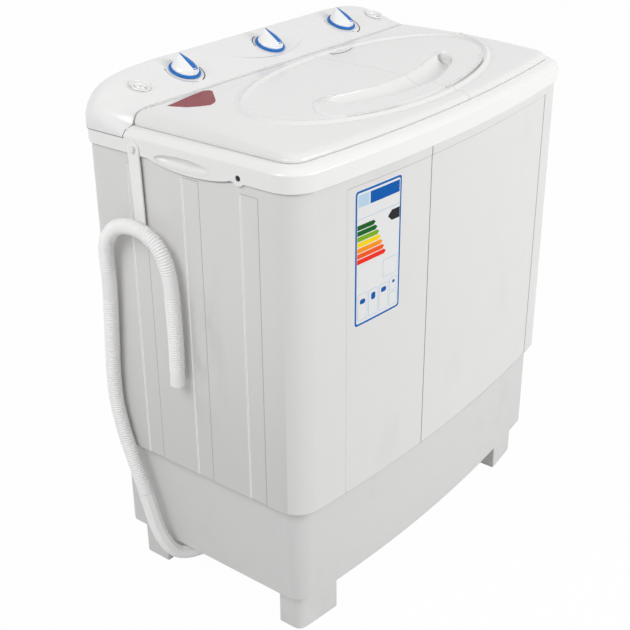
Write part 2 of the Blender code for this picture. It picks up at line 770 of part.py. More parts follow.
def scoop_block(side):
    face = side * (BODY_WIDTH / 2 + RIM_OVERHANG)
    inner = face - side * SCOOP_DEPTH
    top = PANEL_BOTTOM
    lens = scoop_outline(SCOOP_FRONT, SCOOP_REAR, SCOOP_BOTTOM, RIM_BOTTOM + FRAME_WALL / 2)
    lens += [(SCOOP_FRONT, top), (SCOOP_REAR, top)]
    return side_slab(lens, *sorted((inner, face)))


def scoop_hollow(side):
    """The finger hollow: a flattened ball sunk in the rim's face."""
    length = 0.056
    height = 0.0105
    depth = 0.0135
    centre_z = 0.7925
    centre_y = 0.010
    built = bmesh.new()
    bmesh.ops.create_uvsphere(built, u_segments=12, v_segments=8, radius=1.0)
    bmesh.ops.scale(built, vec=(depth, length, height), verts=built.verts)
    face = side * (BODY_WIDTH / 2 + RIM_OVERHANG)
    bmesh.ops.translate(built, vec=(face, centre_y, centre_z), verts=built.verts)
    return from_bmesh("scoop", built)


def screw_tab(side):
    radius = 0.0115
    face = side * (BODY_WIDTH / 2 + RIM_OVERHANG)
    ends = sorted((face, face - side * FRAME_WALL))
    return rod(radius, (ends[0], SCREW_Y, SCREW_Z), (ends[1], SCREW_Y, SCREW_Z), sides=10)


def rim_screws():
    head = 0.0016
    shank = 0.0022
    for side, hand in ((-1, "left"), (1, "right")):
        face = side * (BODY_WIDTH / 2 + RIM_OVERHANG)
        start = face - side * head
        top = rod(SCREW_RADIUS, (start, SCREW_Y, SCREW_Z), (face, SCREW_Y, SCREW_Z), sides=10)
        inner = face - side * (FRAME_WALL - GAP)
        pin = rod(shank, (start + side * head / 2, SCREW_Y, SCREW_Z), (inner, SCREW_Y, SCREW_Z), sides=6)
        keep(f"rim_screw_{hand}", join(top, pin), BLACK)


# Control panel


PANEL_ROLL = 0.140
PANEL_FRONT_SHARES = [(0.0, 0.0), (0.0, 0.105), (0.054, 0.317), (0.139, 0.408), (0.175, 0.606), (0.211, 0.848),
                      (0.311, 0.972), (0.471, 1.0)]
PANEL_REAR_SHARES = [(0.0, 0.0), (0.0, 0.075), (0.060, 0.240), (0.139, 0.341), (0.204, 0.585), (0.411, 0.842),
                     (0.654, 0.943), (1.0, 1.0)]


def panel_section(y, top, half, share):
    """Cross-section of the panel's outer surface at one depth, left to right over the top."""
    rise = top - PANEL_BOTTOM
    rear = share ** 3
    points = []
    for (near_in, near_up), (far_in, far_up) in zip(PANEL_FRONT_SHARES, PANEL_REAR_SHARES):
        across = PANEL_ROLL * (near_in + (far_in - near_in) * rear)
        up = rise * (near_up + (far_up - near_up) * rear)
        points.append((-half + across, y, PANEL_BOTTOM + up))
    points += [(-x, y, z) for x, y, z in reversed(points)]
    return points


def control_panel():
    rear_round = 0.030
    front_y = PANEL_FRONT
    half = BODY_WIDTH / 2 + RIM_OVERHANG
    edge_drop = 0.005
    slices = []
    stations = [0.0, 0.69, 0.80, 0.90, 0.965, 1.0]
    for share in stations:
        y = front_y + (BODY_DEPTH / 2 + RIM_OVERHANG - front_y) * share
        top = PANEL_FRONT_TOP + (y - front_y) * math.tan(PANEL_TILT)
        from_rear = BODY_DEPTH / 2 + RIM_OVERHANG - y
        shrink = 0.0
        if from_rear < rear_round:
            shrink = rear_round - math.sqrt(rear_round ** 2 - (rear_round - from_rear) ** 2)
        drop = edge_drop if share == 1.0 else 0.0
        slices.append(panel_section(y, top - drop, half - shrink, share))
    built = bmesh.new()
    rows = [[built.verts.new(point) for point in row] for row in slices]
    for near, far in zip(rows, rows[1:]):
        for here in range(len(near) - 1):
            built.faces.new((near[here], near[here + 1], far[here + 1], far[here]))
    built.faces.new(list(reversed(rows[0])))
    built.faces.new(rows[-1])
    bmesh.ops.recalc_face_normals(built, faces=built.faces)
    top_faces = [face for face in built.faces if abs(face.normal.y) < 0.5 and len(face.verts) == 4]
    middle = max(top_faces, key=lambda face: face.calc_center_median().z)
    if middle.normal.z < 0:
        bmesh.ops.reverse_faces(built, faces=built.faces)
    panel = thickened(from_bmesh("panel", built), PANEL_WALL)
    for x in (WASH_KNOB_X, SELECTOR_X, SPIN_KNOB_X):
        stem = panel_cylinder(x, KNOB_Y, KNOB_STEM_RADIUS + 3 * ROD_CLEARANCE, -OVERRUN, 3 * PANEL_WALL)
        panel = cut(panel, stem)
    for x in (WASH_INLET_X, SPIN_INLET_X):
        panel = cut(panel, panel_cylinder(x, INLET_Y, INLET_RADIUS, -4 * OVERRUN, 6 * PANEL_WALL))
    return keep("control_panel", panel, GLOSS_WHITE)


def panel_cylinder(x, y, radius, start, end, sides=16):
    """A cylinder along the panel's normal, between two depths below its surface."""
    return rod(radius, panel_point(x, y, end), panel_point(x, y, start), sides=sides)


def on_panel(piece, x, y):
    """Move a piece that is modelled about the origin on to the panel's surface."""
    piece.data.transform(Matrix.Translation(panel_point(x, y)) @ Matrix.Rotation(PANEL_TILT, 4, "X"))
    return piece


KNOB_LIFT = 0.0006


def knob(name, x):
    """Ring, domed body, tall wedge grip across it and the stem that enters its switch."""
    ring_height = 0.0032
    body_radius = 0.0225
    body_height = 0.0085
    crown_radius = 0.0195
    grip_half = 0.0052
    grip_length = 0.0235
    grip_front_top = 0.0150
    grip_rear_top = 0.0225
    stem_end = 0.0120
    body = turned([(0, KNOB_LIFT), (KNOB_RING_RADIUS, KNOB_LIFT), (KNOB_RING_RADIUS, ring_height),
                   (body_radius, ring_height + KNOB_LIFT), (body_radius, body_height),
                   (crown_radius, body_height + KNOB_LIFT * 4), (0, body_height + KNOB_LIFT * 5)], (0, 0, 0), 16)
    grip = box((-grip_half, -grip_length, ring_height), (grip_half, grip_length, grip_rear_top))
    for corner in grip.data.vertices:
        if corner.co.z > ring_height * 2:
            corner.co.x *= 0.55
            corner.co.y *= 0.80
            if corner.co.y < 0:
                corner.co.z = grip_front_top
    stem = rod(KNOB_STEM_RADIUS, (0, 0, -stem_end), (0, 0, body_height / 2), sides=8)
    whole = on_panel(join(body, grip, stem), x, KNOB_Y)
    return keep(name, whole, KNOB_BLUE)


TIMER_WIDTH = 0.052
TIMER_LENGTH = 0.040
TIMER_DEPTH = 0.026
SELECTOR_WIDTH = 0.038
SELECTOR_LENGTH = 0.034
SELECTOR_DEPTH = 0.016
SWITCH_TOP = 0.0040


def switch_body(name, x, width, length, depth):
    """A clockwork timer or switch: a case under the panel with a neck up to its underside."""
    neck_radius = 0.0085
    case_top = PANEL_WALL + SWITCH_TOP
    case = box((-width / 2, -length / 2, -case_top - depth), (width / 2, length / 2, -case_top))
    neck = rod(neck_radius, (0, 0, -case_top - OVERRUN), (0, 0, -PANEL_WALL - GAP), sides=12)
    bore = rod(KNOB_STEM_RADIUS + 2 * ROD_CLEARANCE, (0, 0, -case_top - depth / 2), (0, 0, OVERRUN), sides=8)
    return keep(name, on_panel(cut(join(case, neck), bore), x, KNOB_Y), INNER_GREY)


def inlet(name, x):
    """A round cup let into the panel, with a spigot in its middle and an open tail below."""
    flange = 0.0017
    flange_top = 0.0016
    wall = 0.0015
    cup_depth = 0.0100
    spigot_radius = 0.0062
    bore_radius = 0.0030
    outer = INLET_RADIUS - ROD_CLEARANCE
    profile = [
        (outer - wall, flange_top), (INLET_RADIUS + flange, flange_top), (INLET_RADIUS + flange, GAP * 1.5),
        (outer, GAP * 1.5), (outer, -cup_depth - wall), (DUCT_RADIUS, -cup_depth - wall),
        (DUCT_RADIUS, -INLET_TAIL), (bore_radius, -INLET_TAIL), (bore_radius, 0),
        (spigot_radius, 0), (spigot_radius, -cup_depth), (outer - wall, -cup_depth),
    ]
    return keep(name, on_panel(turned(profile, (0, 0, 0), 12), x, INLET_Y), GLOSS_WHITE)


INLET_TAIL = 0.0200


def inlet_duct(name, x, port, way, shares):
    """The pipe from an inlet's tail to a hole near the top of its tub, which it meets squarely."""
    start = panel_point(x, INLET_Y, INLET_TAIL + GAP)
    below = panel_point(x, INLET_Y, INLET_TAIL + 2 * DUCT_RADIUS)
    approach = port + way * 4 * DUCT_RADIUS
    route = [start, below, *between(below, approach, shares), approach, port]
    return keep(name, pipe(route, DUCT_RADIUS, DUCT_BORE), TUB_WHITE)


DUCT_RADIUS = 0.0078
DUCT_BORE = 0.0056


def pipe(way, radius, bore, detail=1, tolerance=0.0009):
    """A pipe through the route's points, square at both ends."""
    points, length = smooth_route(way, radius)
    points = thinned(points, tolerance)
    return cut(tube(points, radius, detail), tube(lengthened(points, OVERRUN), bore, 1))


# Lids


REAR_SPLITS = 7
SIDE_SPLITS = 3


def lid_outline():
    """The lids' plan outline, with points along its straight sides too, for the oval to follow."""
    corners = body_outline(LID_INSET, LID_REAR, SMALL_CORNER, 2, 3, 8)
    points = []
    for here, there in zip(corners, corners[1:] + corners[:1]):
        points.append(here)
        across, along = abs(there[0] - here[0]), abs(there[1] - here[1])
        splits = REAR_SPLITS if across > BODY_WIDTH / 2 else SIDE_SPLITS if along > BODY_DEPTH / 2 else 1
        for number in range(1, splits):
            share = number / splits
            points.append((here[0] + (there[0] - here[0]) * share, here[1] + (there[1] - here[1]) * share))
    return points


def lid_ring(side_inset, front_inset, rear_inset, rise_side, rise_front):
    """One ring of the lids' outer surface, higher along the sides than along the front."""
    front = -BODY_DEPTH / 2 + LID_INSET
    half = BODY_WIDTH / 2 - LID_INSET
    middle = OVAL_Y + LID_MIDDLE_SHIFT
    ring = []
    for x, y in lid_outline():
        share = min(1.0, max(0.0, (y - front) / -front)) ** 0.7
        rise = rise_front + (rise_side - rise_front) * share
        x *= 1 - side_inset / half
        if y < middle:
            y += front_inset * (middle - y) / (middle - front)
        else:
            y -= rear_inset * (y - middle) / (LID_REAR - middle)
        ring.append((x, y, LID_BOTTOM + (crown(y) - LID_BOTTOM) * rise))
    return ring


OVAL_X_OFFSET = 0.026
OVAL_X = LID_SPLIT - OVAL_X_OFFSET
OVAL_Y = LID_REAR - LID_SPAN / 2
OVAL_HALF_WIDTH_OFFSET = 0.0865
OVAL_HALF_WIDTH = BODY_WIDTH / 2 - OVAL_HALF_WIDTH_OFFSET
OVAL_HALF_DEPTH_OFFSET = 0.0210
OVAL_HALF_DEPTH = LID_SPAN / 2 - OVAL_HALF_DEPTH_OFFSET
LID_MIDDLE_SHIFT = 0.008


def oval_ring(grow, lift, scale=1.0):
    """A ring round the oval, matched point for point to the lid's outline."""
    ring = []
    for x, y in lid_outline():
        angle = math.atan2((y - OVAL_Y) / OVAL_HALF_DEPTH, (x - OVAL_X) / OVAL_HALF_WIDTH)
        px = OVAL_X + (OVAL_HALF_WIDTH * scale + grow) * math.cos(angle)
        py = OVAL_Y + (OVAL_HALF_DEPTH * scale + grow) * math.sin(angle)
        ring.append((px, py, crown(py) + lift))
    return ring


def lid_rings():
    """Rings of the lids' outer surface, from the bottom edge up over the roll to the oval."""
    rear_lift = 0.001
    rolls = [(0.0, 0.0, 0.0, 0.25, 0.30), (0.0050, 0.0030, 0.0, 0.68, 0.68), (0.0120, 0.0065, 0.0022, 0.91, 0.88),
             (0.0240, 0.0120, 0.0062, 1.0, 0.97)]
    bottom = [(x, y, LID_BOTTOM + (rear_lift if y > LID_REAR - SMALL_CORNER else 0))
              for x, y in lid_outline()]
    rings = [bottom] + [lid_ring(*roll) for roll in rolls]
    ridge = 0.0022
    dish = 0.0006
    rings += [oval_ring(0.0050, 0.0), oval_ring(0, ridge), oval_ring(-0.0055, -dish),
              oval_ring(0, -dish, 0.45)]
    return rings


GRIP_X_OFFSET = 0.039
GRIP_X = LID_SPLIT - GRIP_X_OFFSET
GRIP_HALF_OFFSET = 0.115
GRIP_HALF = OVAL_HALF_WIDTH - GRIP_HALF_OFFSET
GRIP_TIP_Y_OFFSET = 0.032
GRIP_TIP_Y = OVAL_Y - GRIP_TIP_Y_OFFSET
GRIP_REAR_SAG = 0.018
GRIP_FRONT_SAG_OFFSET = 0.071
GRIP_FRONT_SAG = OVAL_HALF_DEPTH - GRIP_FRONT_SAG_OFFSET
GRIP_DEPTH = 0.0128


def crescent(shrink, rear_shift=0.0):
    """Plan of the grip hollow, set in by shrink and with its rear edge moved forward."""
    steps = 10
    half = GRIP_HALF - 4 * shrink
    points = []
    for step in range(steps + 1):
        t = -1 + 2 * step / steps
        y = GRIP_TIP_Y - GRIP_FRONT_SAG * (1 - abs(t) ** 2.2)
        points.append((GRIP_X + half * t, y + shrink * (1 - t * t)))
    for step in range(1, steps):
        t = 1 - 2 * step / steps
        y = GRIP_TIP_Y - GRIP_REAR_SAG * (1 - t * t)
        points.append((GRIP_X + half * t, y - (shrink + rear_shift) * (1 - t * t)))
    return points


def grip_block(shrink, floor, top_lift):
    """The grip hollow as a solid: a ramp from the rear edge down to its floor."""
    ramp = 0.030
    rings = [[(x, y, floor) for x, y in crescent(shrink, ramp)]]
    if top_lift > 0:
        rings.append([(x, y, crown(y) + GAP) for x, y in crescent(shrink)])
    rings.append([(x, y, crown(y) + top_lift) for x, y in crescent(shrink)])
    return triangulated(skin(rings, first_cap=True, last_cap=True))


def lid_filling(inset):
    """The space under the lids' surface as a solid, from a little inside that surface."""
    half = BODY_WIDTH / 2 - LID_INSET
    rings = []
    for ring in lid_rings():
        rings.append([(x * (1 - inset / half), y * (1 - inset / LID_REAR), max(z - inset, LID_BOTTOM + GAP))
                      for x, y, z in ring])
    return triangulated(skin(rings, first_cap=True, last_cap=True))


def both_lids():
    """The lids as one hollow moulding with the grip hollow let in, before they are parted."""
    shell = triangulated(thickened(skin(lid_rings(), last_cap=True), LID_WALL))
    shell = join(shell, grip_block(0, LID_TOP - GRIP_DEPTH - LID_WALL, -LID_WALL / 2))
    return shell


def lid(name, side, rod_ends):
    """One lid: its share of the moulding, a wall at the split, ears for its rod, lug notches."""
    edge = LID_SPLIT + side * SPLIT_GAP / 2
    reach = side * BODY_WIDTH
    ends = sorted((edge + side * LID_WALL, edge - side * OVERRUN))
    wall = boolean(lid_filling(LID_WALL / 2),
                   box((ends[0], -BODY_DEPTH, 0), (ends[1], BODY_DEPTH, 2 * LID_TOP)), "INTERSECT")
    piece = join(both_lids(), wall)
    piece = boolean(piece, box((min(edge, reach), -BODY_DEPTH, 0), (max(edge, reach), BODY_DEPTH, 2 * LID_TOP)),
                    "INTERSECT")
    piece = cut(piece, grip_block(LID_WALL, LID_TOP - GRIP_DEPTH, 4 * OVERRUN))
    ear = 0.003
    notch = LUG_WIDTH / 2 + 2 * ROD_CLEARANCE
    ear_front = 0.0045
    for x in hinge_stations()[name]:
        knuckle = box((x - notch - ear, HINGE_Y - ear_front, HINGE_Z - ear_front),
                      (x + notch + ear, LID_REAR, LID_TOP))
        piece = join(piece, boolean(lid_filling(LID_WALL / 2), knuckle, "INTERSECT"))
    for x in hinge_stations()[name]:
        piece = cut(triangulated(piece), box((x - notch, HINGE_Y - HINGE_RADIUS - 2 * ROD_CLEARANCE, 0),
                                             (x + notch, BODY_DEPTH, 2 * LID_TOP)))
    bore = ROD_RADIUS + ROD_CLEARANCE
    piece = cut(piece, rod(bore, (rod_ends[0] - OVERRUN, HINGE_Y, HINGE_Z),
                           (rod_ends[1] + OVERRUN, HINGE_Y, HINGE_Z), sides=8))
    return keep(f"{name}_lid", piece, GLOSS_WHITE)


def lid_rods():
    over = 0.009
    ends = {}
    for name, (first, last) in hinge_stations().items():
        ends[name] = (first - over, last + over)
        keep(f"{name}_lid_rod", rod(ROD_RADIUS, (ends[name][0], HINGE_Y, HINGE_Z),
                                    (ends[name][1], HINGE_Y, HINGE_Z), sides=8), STEEL)
    return ends


# Inner safety cover over the spinner

COVER_HINGE_Y_OFFSET = 0.0035
COVER_HINGE_Y = SPIN_Y + SPIN_TUB_RADIUS + COVER_HINGE_Y_OFFSET
COVER_LUG_RADIUS = 0.0030
COVER_HINGE_Z = DECK_TOP + COVER_LUG_RADIUS + GAP
COVER_LUG_SPREAD = 0.040
COVER_LUGS = (SPIN_X - COVER_LUG_SPREAD, SPIN_X + COVER_LUG_SPREAD)
COVER_THICKNESS = 0.0024
COVER_RADIUS_OFFSET = 0.006
COVER_RADIUS = SPIN_MOUTH_RADIUS + COVER_RADIUS_OFFSET


def spin_safety_cover():
    """A vented disc on the deck over the spinner's mouth, hinged at the rear."""
    bottom = DECK_TOP + GAP
    plate = rod(COVER_RADIUS, (SPIN_X, SPIN_Y, bottom), (SPIN_X, SPIN_Y, bottom + COVER_THICKNESS), sides=20)
    tongue_front = SPIN_Y + COVER_RADIUS * 0.75
    tongue = box((COVER_LUGS[0] + LUG_WIDTH / 2 + ROD_CLEARANCE, tongue_front, bottom),
                 (COVER_LUGS[1] - LUG_WIDTH / 2 - ROD_CLEARANCE, COVER_HINGE_Y, bottom + COVER_THICKNESS))
    barrel = rod(COVER_LUG_RADIUS, (COVER_LUGS[0] + LUG_WIDTH / 2 + ROD_CLEARANCE, COVER_HINGE_Y, COVER_HINGE_Z),
                 (COVER_LUGS[1] - LUG_WIDTH / 2 - ROD_CLEARANCE, COVER_HINGE_Y, COVER_HINGE_Z), sides=12)
    plate = join(plate, tongue, barrel)
    hole_radius = 0.006
    holes = 4
    for number in range(holes):
        angle = math.tau * number / holes
        x = SPIN_X + COVER_RADIUS * 0.5 * math.cos(angle)
        y = SPIN_Y + COVER_RADIUS * 0.5 * math.sin(angle)
        plate = cut(plate, rod(hole_radius, (x, y, bottom - OVERRUN), (x, y, bottom + 2 * OVERRUN), sides=6))
    cover_bore = rod(ROD_RADIUS + ROD_CLEARANCE, (COVER_LUGS[0], COVER_HINGE_Y, COVER_HINGE_Z),
                     (COVER_LUGS[1], COVER_HINGE_Y, COVER_HINGE_Z), sides=8)
    plate = cut(plate, cover_bore)
    keep("spin_safety_cover", plate, TUB_WHITE)
    over = LUG_WIDTH * 0.7
    keep("safety_cover_rod", rod(ROD_RADIUS, (COVER_LUGS[0] - over, COVER_HINGE_Y, COVER_HINGE_Z),
                                 (COVER_LUGS[1] + over, COVER_HINGE_Y, COVER_HINGE_Z), sides=8), STEEL)


# Wash tub


def tub_outline(inset):
    radius = max(WASH_CORNER - inset, SMALL_CORNER)
    return rounded_outline((WASH_X, WASH_Y), WASH_WIDTH - 2 * inset, WASH_DEPTH - 2 * inset, radius, 4)


TUB_DRAIN_SIDE = 0.057
TUB_DRAIN_REAR = 0.040
TUB_DRAIN = (WASH_X + WASH_WIDTH / 2 - TUB_DRAIN_SIDE, WASH_Y + WASH_DEPTH / 2 - TUB_DRAIN_REAR)
TUB_DRAIN_RADIUS = 0.0105
DUCT_HOLE = 0.0088


TUB_TAPER = 0.006
TUB_ROUND = 0.014
TUB_FLANGE_Z = DECK_UNDERSIDE - GAP - TUB_WALL


def tub_lean(height):
    """How far the tub's walls have drawn in at a height."""
    return TUB_TAPER * (TUB_FLANGE_Z - height) / (TUB_FLANGE_Z - WASH_BOTTOM - TUB_ROUND)


def wash_tub():
    flange = 0.012
    rings = [
        level(tub_outline(TUB_TAPER + TUB_ROUND), WASH_BOTTOM),
        level(tub_outline(TUB_TAPER + TUB_ROUND / 4), WASH_BOTTOM + TUB_ROUND / 4),
        level(tub_outline(TUB_TAPER), WASH_BOTTOM + TUB_ROUND),
        level(tub_outline(0), TUB_FLANGE_Z),
        level(tub_outline(-flange), TUB_FLANGE_Z),
    ]
    tub = thickened(skin(rings, first_cap=True), TUB_WALL)
    shaft_hole = rod(WASH_SHAFT_RADIUS + 2 * ROD_CLEARANCE, (WASH_X, WASH_Y, WASH_BOTTOM - OVERRUN),
                     (WASH_X, WASH_Y, WASH_BOTTOM + 3 * TUB_WALL), sides=16)
    drain = rod(TUB_DRAIN_RADIUS, (*TUB_DRAIN, WASH_BOTTOM - OVERRUN), (*TUB_DRAIN, WASH_BOTTOM + 3 * TUB_WALL),
                sides=12)
    inlet_hole = rod(DUCT_HOLE, (WASH_DUCT_X, WASH_Y + WASH_DEPTH / 2 - 4 * TUB_WALL, DUCT_Z),
                     (WASH_DUCT_X, WASH_Y + WASH_DEPTH / 2 + OVERRUN, DUCT_Z), sides=12)
    return keep("wash_tub", cut(tub, shaft_hole, drain, inlet_hole), TUB_WHITE)


WASH_DUCT_X_OFFSET = 0.077
WASH_DUCT_X = WASH_X - WASH_WIDTH / 2 + WASH_DUCT_X_OFFSET
DUCT_Z = 0.785
SPIN_DUCT_ANGLE = math.radians(62)


def pulsator():
    """The ribbed disc that stirs the wash, on its hub."""
    floor = WASH_BOTTOM + TUB_WALL
    bottom = floor + PULSATOR_LIFT
    edge = 0.006
    dome = 0.016
    hub_radius = 0.022
    hub_top = 0.030
    bore = WASH_SHAFT_RADIUS + GAP
    bore_depth = 0.014
    disc = turned([(0, bottom + bore_depth), (bore, bottom + bore_depth), (bore, bottom),
                   (PULSATOR_RADIUS, bottom), (PULSATOR_RADIUS, bottom + edge),
                   (PULSATOR_RADIUS * 0.6, bottom + dome), (hub_radius, bottom + hub_top * 0.8),
                   (hub_radius / 2, bottom + hub_top), (0, bottom + hub_top)], (WASH_X, WASH_Y, 0), 24)
    blades = 4
    blade_half = 0.007
    blade_top = 0.032
    for number in range(blades):
        blade = box((hub_radius / 2, -blade_half, bottom + edge / 2),
                    (PULSATOR_RADIUS * 0.94, blade_half, bottom + blade_top))
        for corner in blade.data.vertices:
            if corner.co.z > bottom + edge:
                corner.co.y *= 0.35
                if corner.co.x > hub_radius:
                    corner.co.x *= 0.85
                    corner.co.z -= blade_top - dome
        turn = Matrix.Translation((WASH_X, WASH_Y, 0)) @ Matrix.Rotation(math.tau * number / blades, 4, "Z")
        blade.data.transform(turn)
        disc = join(disc, blade)
    return keep("pulsator", disc, TUB_WHITE)


def pulsator_shaft():
    top_offset = 0.0137
    top = WASH_BOTTOM + TUB_WALL + PULSATOR_LIFT + top_offset
    bottom_offset = 0.016
    bottom = DRIVE_Z - bottom_offset
    return keep("pulsator_shaft", rod(WASH_SHAFT_RADIUS, (WASH_X, WASH_Y, bottom), (WASH_X, WASH_Y, top), 16),
                STEEL)


def pulsator_bearing():
    """The flanged housing bolted under the tub."""
    top = WASH_BOTTOM - GAP
    flange_radius = 0.045
    flange = 0.005
    barrel = 0.023
    bottom = DRIVE_Z + BELT_HEIGHT
    bore = WASH_SHAFT_RADIUS + 2 * ROD_CLEARANCE
    profile = [(bore, top), (flange_radius, top), (flange_radius, top - flange), (barrel, top - 2 * flange),
               (barrel, bottom), (bore, bottom)]
    return keep("pulsator_bearing", turned(profile, (WASH_X, WASH_Y, 0), 16), MOTOR_METAL)


def pulley(name, x, radius, bore, finish, steps):
    """A grooved wheel for the belt."""
    half_offset = 0.0025
    half = BELT_HEIGHT / 2 + half_offset
    groove = radius - BELT_THICKNESS
    lip = 0.0020
    profile = [(bore, DRIVE_Z + half), (radius, DRIVE_Z + half), (radius, DRIVE_Z + half - lip),
               (groove, DRIVE_Z + BELT_HEIGHT / 2), (groove, DRIVE_Z - BELT_HEIGHT / 2),
               (radius, DRIVE_Z - half + lip), (radius, DRIVE_Z - half), (bore, DRIVE_Z - half)]
    return keep(name, turned(profile, (x, WASH_Y, 0), steps), finish)


def belt_loop(grow):
    """Outline of the belt round its two pulleys, grown outwards from the groove."""
    steps = 8
    big = PULLEY_RADIUS - BELT_THICKNESS + grow
    small = MOTOR_PULLEY_RADIUS - BELT_THICKNESS + grow
    lean = math.asin((big - small) / (MOTOR_X - WASH_X))
    quarter = math.pi / 2
    points = arc((WASH_X, WASH_Y), big / math.cos(math.pi / 40), quarter - lean, 3 * quarter + lean, 16)
    points += arc((MOTOR_X, WASH_Y), small / math.cos(math.pi / 24), -quarter + lean, quarter - lean, steps)
    return points


def drive_belt():
    inner = GAP * 1.5
    lip_room = 0.0006
    half = BELT_HEIGHT / 2 - lip_room
    loop = slab([belt_loop(inner + BELT_THICKNESS * 0.8), belt_loop(inner)], DRIVE_Z - half, DRIVE_Z + half)
    return keep("drive_belt", loop, RUBBER)


MOTOR_RADIUS = 0.055
MOTOR_BOTTOM = 0.150
MOTOR_TOP = 0.246
MOTOR_SHAFT_RADIUS = 0.0060


def wash_motor():
    waist = 0.050
    neck = 0.016
    cap = 0.014
    bore = MOTOR_SHAFT_RADIUS + 2 * ROD_CLEARANCE
    profile = [(0, MOTOR_BOTTOM), (waist, MOTOR_BOTTOM), (MOTOR_RADIUS, MOTOR_BOTTOM + cap),
               (MOTOR_RADIUS, MOTOR_TOP - cap), (waist, MOTOR_TOP), (neck, MOTOR_TOP),
               (neck, MOTOR_TOP + cap / 2), (bore, MOTOR_TOP + cap / 2), (bore, MOTOR_TOP - 2 * cap),
               (0, MOTOR_TOP - 2 * cap)]
    keep("wash_motor", turned(profile, (MOTOR_X, WASH_Y, 0), 16), MOTOR_METAL)
    shaft_bottom = MOTOR_TOP - 2 * cap + GAP
    keep("wash_motor_shaft", rod(MOTOR_SHAFT_RADIUS, (MOTOR_X, WASH_Y, shaft_bottom),
                                 (MOTOR_X, WASH_Y, DRIVE_Z + BELT_HEIGHT + OVERRUN), 16), STEEL)


def wash_motor_bracket():
    """A pressed-steel stool that carries the wash motor on the base floor."""
    sheet = 0.003
    half_width = 0.060
    half_depth = 0.052
    foot = 0.016
    top = MOTOR_BOTTOM - GAP
    floor = FLOOR_TOP + GAP
    right = [(half_width - sheet, floor), (half_width + foot, floor), (half_width + foot, floor + sheet),
             (half_width, floor + sheet), (half_width, top)]
    inner = [(half_width - sheet, top - sheet)]
    outline = right + [(-x, z) for x, z in reversed(right)] + [(-x, z) for x, z in inner] + inner
    stool = slab([(MOTOR_X + x, z) for x, z in outline], WASH_Y - half_depth, WASH_Y + half_depth)
    upright = Matrix(((1, 0, 0, 0), (0, 0, 1, 0), (0, 1, 0, 0), (0, 0, 0, 1)))
    stool.data.transform(upright)
    stool.data.flip_normals()
    return keep("wash_motor_bracket", stool, STEEL)


def lint_filter():
    """The lint cassette clipped to the tub's rear wall, open at its front."""
    centre = -0.110
    width = 0.096
    bottom = 0.690
    height = 0.075
    depth = 0.014
    wall = 0.002
    back = WASH_Y + WASH_DEPTH / 2 - TUB_WALL - GAP - tub_lean(bottom)
    frame = box((centre - width / 2, back - depth, bottom), (centre + width / 2, back, bottom + height))
    hollow_front = box((centre - width / 2 + wall, back - depth - OVERRUN, bottom + wall),
                       (centre + width / 2 - wall, back - wall, bottom + height - wall))
    cassette = cut(frame, hollow_front)
    for corner in cassette.data.vertices:
        corner.co.y += tub_lean(bottom) - tub_lean(corner.co.z)
    return keep("lint_filter", cassette, KNOB_BLUE)


def overflow_cover():
    """The slotted channel on the tub's right wall."""
    half_width = 0.036
    depth = 0.010
    bottom = 0.420
    top = 0.770
    slot = 0.004
    slots = 6
    back = WASH_X + WASH_WIDTH / 2 - TUB_WALL - GAP - tub_lean(bottom)
    plate = box((back - depth, WASH_Y - half_width, bottom), (back, WASH_Y + half_width, top))
    pitch = (top - bottom) / (slots + 1)
    for number in range(1, slots + 1):
        height = bottom + number * pitch
        plate = cut(plate, box((back - 2 * depth, WASH_Y - half_width * 0.7, height),
                               (back - depth / 2, WASH_Y + half_width * 0.7, height + slot)))
    for corner in plate.data.vertices:
        corner.co.x += tub_lean(bottom) - tub_lean(corner.co.z)
    return keep("overflow_cover", plate, TUB_WHITE)


# Spinner


def spin_tub():
    """The drum-shaped outer tub, with a flange under the deck."""
    flange = 0.010
    top = DECK_UNDERSIDE - GAP
    hole = 0.030
    outer, inner = SPIN_TUB_RADIUS, SPIN_TUB_RADIUS - TUB_WALL
    profile = [
        (hole, SPIN_TUB_BOTTOM), (outer, SPIN_TUB_BOTTOM), (outer, top - TUB_WALL),
        (outer + flange, top - TUB_WALL), (outer + flange, top), (inner, top),
        (inner, SPIN_TUB_BOTTOM + TUB_WALL), (hole, SPIN_TUB_BOTTOM + TUB_WALL),
    ]
    tub = turned(profile, (SPIN_X, SPIN_Y, 0), 20)
    drain = rod(TUB_DRAIN_RADIUS, (*SPIN_DRAIN, SPIN_TUB_BOTTOM - OVERRUN),
                (*SPIN_DRAIN, SPIN_TUB_BOTTOM + 3 * TUB_WALL), sides=12)
    way = Vector((math.cos(SPIN_DUCT_ANGLE), math.sin(SPIN_DUCT_ANGLE), 0))
    centre = Vector((SPIN_X, SPIN_Y, DUCT_Z))
    hole = rod(DUCT_HOLE, centre + way * (outer - 4 * TUB_WALL), centre + way * (outer + 2 * OVERRUN), sides=12)
    return keep("spin_tub", cut(tub, drain, hole), TUB_WHITE)


SPIN_DRAIN = (SPIN_X - 0.4297 * SPIN_TUB_RADIUS, SPIN_Y + 0.6641 * SPIN_TUB_RADIUS)


